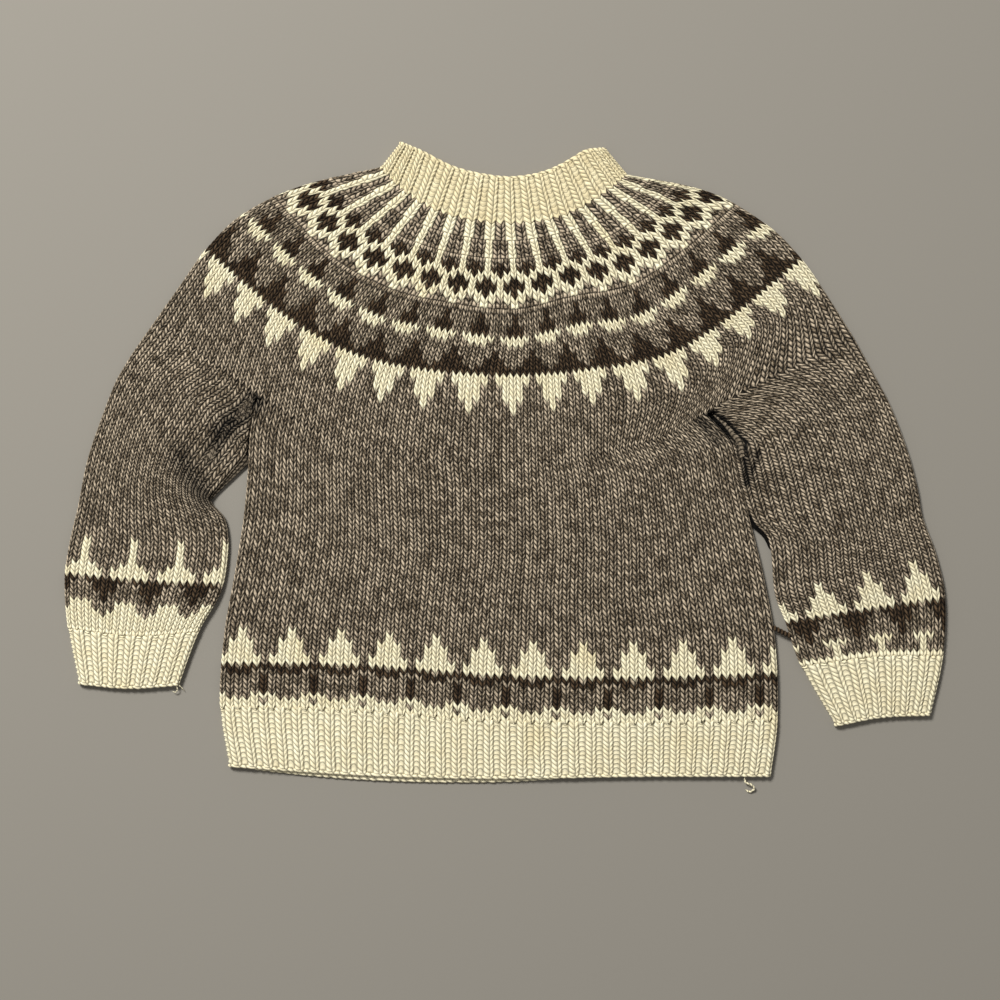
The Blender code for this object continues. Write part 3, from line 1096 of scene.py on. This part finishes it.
        codes = np.empty((rows, stitches, 4))
        codes[..., :2] = zone.chart.codes(rows, 2 * stitches)[:, ::-1][:, :stitches]
        codes[..., 2] = generator.random((rows, stitches))
        codes[..., 3] = front_codes[..., 3]
        flip = self.counted is Rows.UP
        faces = cell_triangles(numbers, points, flip)
        owner = np.minimum((np.arange(faces.shape[1]) + 1) // 2, stitches - 1)
        shell.add_faces(faces, np.broadcast_to(
            codes[:, owner][:, :, None, :], (*faces.shape[:3], 4)
        ).reshape(-1, 4))

        half = SUB_ROWS // 2 + 1
        for fine_column, back_column, stitch, turn in (
            (fine[:, 0], numbers[:, 0], 0, flip),
            (fine[:, -1], numbers[:, -1], stitches - 1, not flip),
        ):
            for r in range(rows):
                step = fine_column[r * SUB_ROWS:(r + 1) * SUB_ROWS + 1]
                fan = [(step[k], back_column[r], step[k + 1]) for k in range(half)]
                fan.append((step[half], back_column[r], back_column[r + 1]))
                fan += [
                    (step[k], back_column[r + 1], step[k + 1]) for k in range(half, SUB_ROWS)
                ]
                fan = np.array(fan)
                shell.add_faces(fan if turn else fan[:, ::-1], codes[r, stitch])
        return numbers, across, codes, np.minimum(u.astype(int), stitches - 1)

    def end_loop(self, front: tuple, back: tuple, last: bool) -> Loop:
        """The closed loop of points at one end of a zone."""
        k = -1 if last else 0
        parts = []
        for numbers, across, codes, stitch in (front, back):
            parts.append((numbers[k], self.share(across), codes[k][stitch]))
        (ahead, share, yarn), (behind, back_share, back_yarn) = parts
        return Loop(
            np.concatenate([ahead, behind[::-1]]),
            np.concatenate([share, 2 - back_share[::-1]]),
            np.concatenate([yarn, back_yarn[::-1]]),
        )

    def inside(self, shell: Shell) -> tuple:
        """Adds the plain inside of the tube and returns its two end loops."""
        first, last = self.zones[0].first, self.zones[-1].last
        v_last = self.zones[-1].v_start + self.zones[-1].rows
        count = max(2, round((last - first) / self.inner_row)) + 1
        across = np.linspace(self.low, self.high, self.inner_columns + 1)
        spread = np.concatenate([across, across[::-1]])
        n = len(across)
        round_at = np.concatenate([self.share(across), 2 - self.share(across[::-1])])
        plain = np.array((*self.zones[-1].chart.plain.value[1:], 0.5, 1.0))
        loops = []
        for row in np.linspace(first, last, count):
            middle = self.places(np.full(spread.shape, row), spread)
            for end, toward in ((0, 1), (n - 1, n - 2)):
                step = middle[toward] - middle[end]
                step *= min(WALL / np.linalg.norm(step), 0.9)
                middle[end] += step
                middle[2 * n - 1 - end] += step
            points = np.empty((2 * n, 3))
            points[:, :2] = middle
            points[:n, 2] = WALL + AIR + np.minimum(fold_rise(middle[:n]), INSIDE_LIFT)
            points[n:, 2] = WALL
            along = (row - first) / (last - first)
            self.drop_back(points[n:], spread[n:], along)
            v = along * v_last
            uv = np.stack([round_at * self.zones[0].stitches, np.full(2 * n, v + 0.5)], -1)
            loops.append((shell.add_points(points, np.array(INNER_RELIEF), uv), points))
        flip = self.counted is Rows.UP
        for (low, low_points), (high, high_points) in zip(loops, loops[1:]):
            ring = np.stack([np.append(low, low[0]), np.append(high, high[0])])
            spots = np.stack([
                np.vstack([low_points, low_points[:1]]),
                np.vstack([high_points, high_points[:1]]),
            ])
            shell.add_faces(cell_triangles(ring, spots, flip), plain)
        yarn = np.tile(plain, (2 * n, 1))
        return Loop(loops[0][0], round_at, yarn), Loop(loops[-1][0], round_at, yarn)

    def cast_off(self, shell: Shell, generator: np.random.Generator) -> None:
        """Adds the chain of stitches that closes an open end."""
        zone = self.zones[-1]
        stitches = zone.stitches
        last = zone.last - CHAIN_BACK
        u = np.arange(stitches * CHAIN_STEPS + 1) / CHAIN_STEPS
        across = zone.columns(u)
        paths = []
        for front in (True, False):
            spread = self.spread_row(last, across, front)
            place = self.places(np.full(across.shape, last), spread.measure)
            if not front:
                self.drop_back(place, spread.measure, 1.0)
            sign = 1.0 if front else -1.0
            inset = np.gradient(place, axis=0)
            inset /= np.linalg.norm(inset, axis=1, keepdims=True)
            place -= inset * (spread.side * np.cos(spread.angle) * CHAIN_INSET)[:, None]
            path = np.empty((len(place), 3))
            path[:, :2] = place
            path[:, 2] = FOLD_ROUND + sign * CHAIN_HEIGHT * np.sin(spread.angle)
            if front:
                path[:, 2] += fold_rise(place)
            paths.append(path)
        path = np.concatenate([paths[0], paths[1][::-1][1:-1]])
        path += generator.normal(0, CHAIN_UNEVEN, path.shape)
        measure = np.arange(len(path)) / CHAIN_STEPS
        measure *= 2 * stitches / (len(path) / CHAIN_STEPS)
        code = np.array((*zone.chart.plain.value[1:], 0.5, 0.0))
        add_cord(shell, path, CHAIN_RADIUS, code, measure)

    def loose(self, shell: Shell, strand: Strand) -> None:
        """Adds one loose strand."""
        places = np.array(strand.places, float)
        knots = tuple(range(len(places)))
        at = np.linspace(0, knots[-1], LOOSE_STEPS * knots[-1] + 1)
        path = smooth_curve(knots, places, at)
        ends = np.minimum(at, knots[-1] - at)
        taper = LOOSE_TIP + (1 - LOOSE_TIP) * smooth_step(ends / LOOSE_TIP_LENGTH)
        code = np.array((*strand.yarn.value[1:], 0.6, 0.0))
        twist = at * LOOSE_TWIST
        add_cord(shell, path, strand.radius, code, twist, closed=False, taper=taper)

    def build(self) -> bpy.types.Object:
        """Makes the tube's mesh, closed all over.

        Returns:
            The tube's object.
        """
        generator = np.random.default_rng(self.seed)
        shell = Shell()
        ends = []
        v_start = 0
        for zone in self.zones:
            zone.v_start = v_start
            v_start += zone.rows
            front = self.front(zone, shell, generator)
            back = self.back(zone, shell, front, generator)
            ends.append((self.end_loop(front, back, False), self.end_loop(front, back, True)))
        down = self.counted is Rows.DOWN
        for before, after in zip(ends, ends[1:]):
            join_loops(shell, before[1], after[0], down)
        inner_start, inner_end = self.inside(shell)
        join_loops(shell, inner_start, ends[0][0], down)
        join_loops(shell, ends[-1][1], inner_end, down)
        if self.open_end:
            self.cast_off(shell, generator)
        for near, far in self.shadow_webs:
            add_shadow_web(shell, near, far)
        for strand in self.strands:
            self.loose(shell, strand)
        thing = shell.build(self.name)
        LOG.info("%s: %d triangles", self.name, len(thing.data.polygons))
        return thing

    def dress(self, thing: bpy.types.Object, material: bpy.types.Material) -> None:
        """Gives the piece its wool, hangs it under the root's empty and hides the solid that it
        replaces.
        """
        thing.data.materials.append(material)
        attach(thing, "root")
        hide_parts(self.node)


def stitch_edges(low: float, high: float, start: float, width: float) -> np.ndarray:
    """Stitch boundaries of one width, cut off at the two side folds."""
    inner = [start + width * i for i in range(int((high - start) / width) + 2)]
    inner = [edge for edge in inner if low + 0.05 * width < edge < high - 0.05 * width]
    return np.array([low, *inner, high])


def rib_edges(low: float, high: float, stitches: int) -> np.ndarray:
    """Stitch boundaries of single rib, whose knitted stitches are broader than its purled."""
    edges = np.arange(stitches + 1.0)
    edges[1:-1:2] -= RIB_SPREAD
    edges[2:-1:2] += RIB_SPREAD
    return low + (high - low) * edges / stitches


def make_tubes() -> list:
    """All eight tubes, in the order in which they are built."""
    body_edges = np.linspace(0, 1, 69)
    sleeve_edges = np.linspace(0, 1, SLEEVE_STITCHES + UNDERARM_STITCHES + 1)
    cuff_edges = rib_edges(0, 1, 16)
    rib = Chart(plain=Yarn.CREAM)
    return [
        KnitTube(
            "body_knit", "body", "body_wool", (1.02, 0.26), 0.244, body_places,
            [Zone(0, 52, 52, body_edges, Chart(HEM_LINES, 36, 1), calm_end=0.9)],
            Rows.DOWN, 11, armpit_left=True, armpit_right=True, inner_columns=24,
            creased=True, shadow_webs=(underarm_shadow_web(False), underarm_shadow_web(True)),
        ),
        KnitTube(
            "yoke_knit", "yoke", "yoke_wool", (1.41, 0.24), 0.24, whole_yoke_places,
            [
                Zone(0, 31, 31, stitch_edges(LEFT_FOLD, RIGHT_FOLD, LEFT_FOLD, 1 / 6),
                     Chart(TRIANGLE_LINES, 10, 5), calm_end=0.05),
                Zone(31, 41, 10, stitch_edges(LEFT_FOLD, RIGHT_FOLD, LEFT_FOLD - 1 / 8, 1 / 4),
                     Chart(DIAMOND_LINES, 0, 3), calm_start=0.05, calm_end=0.05),
                Zone(41, 45, 4, stitch_edges(LEFT_FOLD, RIGHT_FOLD, LEFT_FOLD - 1 / 12, 1 / 3),
                     Chart(SPOKE_LINES, 0, 0), calm_start=0.05, calm_end=0.05),
                Zone(45, 49, 4, stitch_edges(LEFT_FOLD, RIGHT_FOLD, LEFT_FOLD, 1 / 2),
                     Chart(NECK_LINES, 0, 0), calm_start=0.05, calm_end=0.9),
            ],
            Rows.UP, 23, low=LEFT_FOLD, high=RIGHT_FOLD, inner_columns=40,
        ),
        KnitTube(
            "hem_knit", "hem_rib", "rib_wool", (1.02, 0.053), None, body_places,
            [Zone(52, 64.2, 12, rib_edges(0, 1, 68), rib, Knit.RIB, calm_start=0.9,
                  calm_end=0.0)],
            Rows.DOWN, 37, open_end=True, back_drop=back_hem, inner_columns=24,
            strands=(TAIL,),
        ),
        KnitTube(
            "neckband_knit", "neckband", "rib_wool", (0.48, 0.039), None, neck_places,
            [Zone(0, 9.3, 10, rib_edges(LEFT_FOLD, RIGHT_FOLD, 34), rib, Knit.RIB,
                  calm_start=0.9, calm_end=0.0)],
            Rows.UP, 41, low=LEFT_FOLD, high=RIGHT_FOLD, open_end=True,
        ),
        KnitTube(
            "sleeve_left_knit", "sleeve_left", "sleeve_wool", (0.27, 0.26), None, left_places,
            [Zone(0, 65, 65, sleeve_edges, Chart(LEFT_CUFF_LINES, 45, 1), calm_end=0.4)],
            Rows.DOWN, 53, armpit_right=True, wrap=UNDERARM_WRAP, inner_columns=10,
            creased=True,
        ),
        KnitTube(
            "sleeve_right_knit", "sleeve_right", "sleeve_wool", (0.3, 0.275), None, right_places,
            [Zone(0, 65, 65, sleeve_edges, Chart(RIGHT_CUFF_LINES, 48, 4), calm_end=0.4)],
            Rows.DOWN, 67, armpit_left=True, wrap=-UNDERARM_WRAP, inner_columns=10,
            creased=True, strands=(DARN,),
        ),
        KnitTube(
            "cuff_left_knit", "cuff_left", "rib_wool", (0.21, 0.049), None, left_places,
            [Zone(65, 76.7, 11, cuff_edges, rib, Knit.RIB, calm_start=0.4, calm_end=0.0)],
            Rows.DOWN, 71, open_end=True, inner_columns=8, strands=WISPS,
        ),
        KnitTube(
            "cuff_right_knit", "cuff_right", "rib_wool", (0.22, 0.057), None, right_places,
            [Zone(65, 76.7, 12, cuff_edges, rib, Knit.RIB, calm_start=0.4, calm_end=0.0)],
            Rows.DOWN, 83, open_end=True, inner_columns=8,
        ),
    ]


class Value:
    """A shader value that takes part in plain expressions."""

    def __init__(self, nodes: "Nodes", socket: bpy.types.NodeSocket) -> None:
        """Keeps the node tree and the output socket."""
        self.nodes = nodes
        self.socket = socket

    def _math(self, operation: str, *values: object) -> "Value":
        """One Math node on some values."""
        return self.nodes.add("ShaderNodeMath", {"operation": operation}, values)

    def __add__(self, other: object) -> "Value":
        """Sum."""
        return self._math("ADD", self, other)

    __radd__ = __add__

    def __sub__(self, other: object) -> "Value":
        """Difference."""
        return self._math("SUBTRACT", self, other)

    def __rsub__(self, other: object) -> "Value":
        """Difference the other way round."""
        return self._math("SUBTRACT", other, self)

    def __mul__(self, other: object) -> "Value":
        """Product."""
        return self._math("MULTIPLY", self, other)

    __rmul__ = __mul__

    def __truediv__(self, other: object) -> "Value":
        """Quotient."""
        return self._math("DIVIDE", self, other)

    def __pow__(self, other: object) -> "Value":
        """Power."""
        return self._math("POWER", self, other)

    def size(self) -> "Value":
        """The value without its sign."""
        return self._math("ABSOLUTE", self)

    def held(self) -> "Value":
        """The value kept from 0 to 1."""
        return self.nodes.add("ShaderNodeClamp", {}, (self, 0.0, 1.0))


class Nodes:
    """A material's node tree, written as calls."""

    def __init__(self, material: bpy.types.Material) -> None:
        """Empties the tree and keeps it."""
        material.use_nodes = True
        self.tree = material.node_tree
        self.tree.nodes.clear()

    def add(self, kind: str, settings: dict, inputs: object, output: object = 0) -> Value:
        """Adds a node.

        Args:
            kind: the node's type.
            settings: its properties.
            inputs: values or links of its sockets, in order or by name.
            output: which output to return, by number or name.

        Returns:
            The chosen output as a value.
        """
        node = self.tree.nodes.new(kind)
        for name, setting in settings.items():
            setattr(node, name, setting)
        pairs = inputs.items() if isinstance(inputs, dict) else enumerate(inputs)
        for key, given in pairs:
            if isinstance(given, Value):
                self.tree.links.new(given.socket, node.inputs[key])
            elif given is not None:
                node.inputs[key].default_value = given
        return Value(self, node.outputs[output])

    def blend(self, factor: object, low: object, high: object) -> Value:
        """Mix of two colours."""
        settings = {"data_type": "RGBA", "clamp_factor": True}
        return self.add("ShaderNodeMix", settings, {0: factor, 6: low, 7: high}, 2)

    def noise(self, vector: Value, scale: float, detail: float = 2.0) -> Value:
        """Noise of about 0 to 1 on some coordinates."""
        return self.add(
            "ShaderNodeTexNoise", {}, {"Vector": vector, "Scale": scale, "Detail": detail}
        )

    def fraction(self, value: Value) -> Value:
        """What a value has over a whole number."""
        return self.add("ShaderNodeMath", {"operation": "FRACT"}, (value,))

    def larger(self, first: Value, second: Value) -> Value:
        """The larger of two values."""
        return self.add("ShaderNodeMath", {"operation": "MAXIMUM"}, (first, second))

    def part(self, vector: Value, axis: int) -> Value:
        """One component of a vector or colour."""
        return self.add("ShaderNodeSeparateXYZ", {}, (vector,), axis)

    def vector(self, x: object, y: object, z: object = 0.0) -> Value:
        """Vector of three values."""
        return self.add("ShaderNodeCombineXYZ", {}, (x, y, z))


def rgb(red: float, green: float, blue: float) -> tuple:
    """Opaque colour."""
    return (red, green, blue, 1.0)


@dataclass(frozen=True)
class WoolFinish:
    """Finish of one stretch of the sweater.

    It holds the lights and darks of its yarns, the painted shade between the strands and the
    painted shadow in the creases and on the underarm webs, and how fine the unevenness of the wool
    is, in spots to a metre.
    """

    name: str
    heather_deep: tuple = rgb(0.10, 0.073, 0.043)
    heather_pale: tuple = rgb(0.69, 0.57, 0.415)
    cream_deep: tuple = rgb(0.79, 0.68, 0.42)
    cream_pale: tuple = rgb(0.98, 0.93, 0.69)
    dark_deep: tuple = rgb(0.030, 0.018, 0.009)
    dark_pale: tuple = rgb(0.125, 0.082, 0.046)
    stain: tuple = rgb(0.84, 0.68, 0.33)
    # Painted shade between the strands: its darkest share, its lift on cream and how it falls off;
    # then the painted shadow of creases and webs
    painted_gap_shade: float = 0.022
    cream_painted_gap_shade: float = 0.13
    painted_shade_falloff: float = 2.1
    cream_painted_shade_falloff: float = 1.4
    painted_shadow_slope: float = 2.2
    painted_shadow_dark: float = 0.97
    wobble_across: float = 0.12
    wobble_along: float = 0.26
    wobble_scale: float = 210.0
    fleck_scale: float = 520.0
    cloud_scale: float = 26.0
    stain_scale: float = 15.0
    fuzz_scale: float = 1900.0
    bump_distance: float = 0.0007
    roughness: float = 0.96
    sheen: float = 0.03

    def stitch_relief(self, nodes: Nodes, u: Value, v: Value, kind: Value,
                      bridge: Value) -> Value:
        """Relief of the strands, from 0 between them to 1 on top, which sets the bump and the
        painted shade.

        Args:
            nodes: the material's nodes.
            u: stitches across, whole numbers between the wales.
            v: rows along the strands.
            kind: 1 on purled stitches, a quarter on the knitted ones of a rib, or 0.
            bridge: how much of the gap between two rows is filled.

        Returns:
            The relief.
        """
        x = nodes.fraction(u)
        left = (1.0 - ((x - 0.31).size() / 0.315) ** 4.0).held()
        right = (1.0 - ((x - 0.81).size() / 0.18) ** 4.0).held()
        row = nodes.larger(1.0 - (nodes.fraction(v) * 2.0 - 1.0).size() ** 4.0, bridge * 0.85)
        ribbed = (kind * 4.0).held()
        kept = 0.35 + ribbed * 0.45
        plain = nodes.larger(left * row, right * (kept + (1.0 - kept) * row))
        across = x * 2.0 - 1.0
        bend = nodes.fraction(v + 0.42 * (1.0 - across * across))
        arc = nodes.larger(1.0 - (bend * 2.0 - 1.0).size() ** 3.0, bridge * 0.7)
        bump = 0.1 + 0.9 * arc * (1.0 - across.size() ** 6.0)
        return plain + (bump - plain) * (kind * 4.0 - 3.0).held()

    def material(self) -> bpy.types.Material:
        """Makes the finish's material.

        Returns:
            Wool that reads the yarn and relief of each stitch.
        """
        material = bpy.data.materials.new(self.name)
        nodes = Nodes(material)
        yarn = nodes.add("ShaderNodeAttribute", {"attribute_name": "yarn"}, {}, "Color")
        kind = nodes.add("ShaderNodeAttribute", {"attribute_name": "yarn"}, {}, "Alpha")
        luck = nodes.part(yarn, 2)
        # The relief attribute: low values paint shade, values below zero paint black shadow,
        # values above one fill a row gap
        depth = nodes.add("ShaderNodeAttribute", {"attribute_name": "relief"}, {}, "Fac")
        uv = nodes.add("ShaderNodeUVMap", {"uv_map": "knit"}, {})
        place = nodes.add("ShaderNodeTexCoord", {}, {}, "Object")
        u, v = nodes.part(uv, 0), nodes.part(uv, 1)
        wobble = nodes.noise(place, self.wobble_scale, 1.0) - 0.5
        relief = self.stitch_relief(
            nodes, u + wobble * self.wobble_across, v + wobble * self.wobble_along, kind,
            (depth - 1.0).held(),
        )

        streak = nodes.noise(nodes.vector(u * 4.0, v * 16.0), 1.0, 3.0)
        fleck = nodes.noise(place, self.fleck_scale, 2.0)
        cloud = nodes.noise(place, self.cloud_scale, 2.0)
        marl = (0.5 + (streak - 0.5) * 2.0 + (fleck - 0.5) * 2.0 + (luck - 0.5) * 0.7
                + (cloud - 0.5) * 0.12).held()
        soft = (0.6 + (streak - 0.5) * 1.2 + (luck - 0.5) * 0.3 + (cloud - 0.5) * 0.5).held()

        heather = nodes.blend(marl, self.heather_deep, self.heather_pale)
        blotch = nodes.noise(place, self.stain_scale, 1.0)
        yellowed = nodes.blend(((blotch - 0.60) * 5.0).held() * 0.5, self.cream_pale, self.stain)
        cream = nodes.blend(soft, self.cream_deep, yellowed)
        dark = nodes.blend(marl, self.dark_deep, self.dark_pale)
        tinted = nodes.blend(nodes.part(yarn, 0), heather, cream)
        tinted = nodes.blend(nodes.part(yarn, 1), tinted, dark)
        pale = nodes.part(yarn, 0)
        # Painted shade: the colour darkens between the strands, where the relief is low, down to
        # this floor
        floor = self.painted_gap_shade + pale * self.cream_painted_gap_shade
        lit = relief * (0.5 + 0.5 * depth.held())
        shade = floor + (1.0 - floor) * lit ** (self.painted_shade_falloff - self.cream_painted_shade_falloff * pale)
        # Painted shadow: black where the relief attribute goes below zero, in the creases and on
        # the underarm webs
        shade = shade * (1.0 - (depth * -self.painted_shadow_slope).held() * self.painted_shadow_dark)
        colour = nodes.add(
            "ShaderNodeVectorMath", {"operation": "SCALE"}, {"Vector": tinted, "Scale": shade}
        )

        ply = nodes.noise(nodes.vector(u * 7.0 + v * 2.2, v * 22.0), 1.0, 2.0)
        fuzz = nodes.noise(place, self.fuzz_scale, 2.0)
        normal = nodes.add("ShaderNodeBump", {}, {
            "Strength": 0.8, "Distance": self.bump_distance,
            "Height": relief + ply * 0.35 + fuzz * 0.25,
        })
        shader = nodes.add("ShaderNodeBsdfPrincipled", {}, {
            "Base Color": colour, "Roughness": self.roughness, "Normal": normal,
            "Sheen Weight": self.sheen, "Sheen Roughness": 0.6, "Specular IOR Level": 0.08,
        })
        output = nodes.tree.nodes.new("ShaderNodeOutputMaterial")
        nodes.tree.links.new(shader.socket, output.inputs["Surface"])
        return material


FINISHES = {
    name: WoolFinish(name) for name in ("body_wool", "sleeve_wool", "yoke_wool", "rib_wool")
}
NECK_FINISH = WoolFinish(
    "neck_wool", cream_deep=rgb(0.64, 0.52, 0.28), cream_pale=rgb(0.93, 0.85, 0.58)
)
FINISHES["neckband_knit"] = NECK_FINISH


@dataclass
class Studio:
    """Pale floor, soft light from above and a camera that looks straight down.

    The camera's sizes are in millimetres, and those of the floor and window in metres.
    """

    picture_pixels: int = 1000
    pixel_mm: float = 0.92
    garment_height: float = 6.0
    camera_height: float = 1700.0
    middle: tuple = (-4.6, -34.0)
    floor_size: float = 6.0
    floor_place: tuple = (0, 0, -0.0002)
    floor_colour: tuple = rgb(0.214, 0.200, 0.172)
    floor_roughness: float = 0.8
    window_width: float = 1.1
    window_length: float = 0.9
    window_watts: float = 236.0
    window_colour: tuple = (1.0, 0.985, 0.96)
    window_place: tuple = (-1.6, 2.1, 3.1)
    window_aim: tuple = (0, -0.05, 0)
    surround_colour: tuple = rgb(1.0, 0.98, 0.95)
    surround_strength: float = 0.34

    def floor(self) -> None:
        """Adds the floor."""
        bpy.ops.mesh.primitive_plane_add(size=self.floor_size, location=self.floor_place)
        floor = bpy.context.object
        floor.name = "floor"
        material = bpy.data.materials.new("floor_plain")
        material.use_nodes = True
        shader = material.node_tree.nodes["Principled BSDF"]
        shader.inputs["Base Color"].default_value = self.floor_colour
        shader.inputs["Roughness"].default_value = self.floor_roughness
        floor.data.materials.append(material)

    def lights(self) -> None:
        """Adds a large soft light above and a weak even surround."""
        data = bpy.data.lights.new("window", "AREA")
        data.shape = "RECTANGLE"
        data.size = self.window_width
        data.size_y = self.window_length
        data.energy = self.window_watts
        data.color = self.window_colour
        light = bpy.data.objects.new("window", data)
        bpy.context.scene.collection.objects.link(light)
        light.location = self.window_place
        aim = Vector(self.window_aim) - light.location
        light.rotation_euler = aim.to_track_quat("-Z", "Y").to_euler()
        world = bpy.data.worlds.new("studio")
        world.use_nodes = True
        background = world.node_tree.nodes["Background"]
        background.inputs["Color"].default_value = self.surround_colour
        background.inputs["Strength"].default_value = self.surround_strength
        bpy.context.scene.world = world

    def camera(self) -> None:
        """Adds the camera, straight above, with the photograph's field."""
        data = bpy.data.cameras.new("camera")
        width = self.picture_pixels * self.pixel_mm
        data.lens = data.sensor_width * (self.camera_height - self.garment_height) / width
        camera = bpy.data.objects.new("camera", data)
        camera.location = (self.middle[0] * MM, self.middle[1] * MM, self.camera_height * MM)
        bpy.context.scene.collection.objects.link(camera)
        bpy.context.scene.camera = camera

    def build(self) -> None:
        """Adds the floor, lights and camera."""
        self.floor()
        self.lights()
        self.camera()
        bpy.context.scene.view_settings.view_transform = "Standard"


def main() -> None:
    """Builds the studio and the sweater."""
    logging.basicConfig(level=logging.INFO)
    bpy.ops.object.select_all(action="DESELECT")
    Studio().build()
    materials = {slot: finish.material() for slot, finish in FINISHES.items()}
    for tube in make_tubes():
        tube.dress(tube.build(), materials.get(tube.name, materials[tube.slot]))


if __name__ == "__main__":
    main()
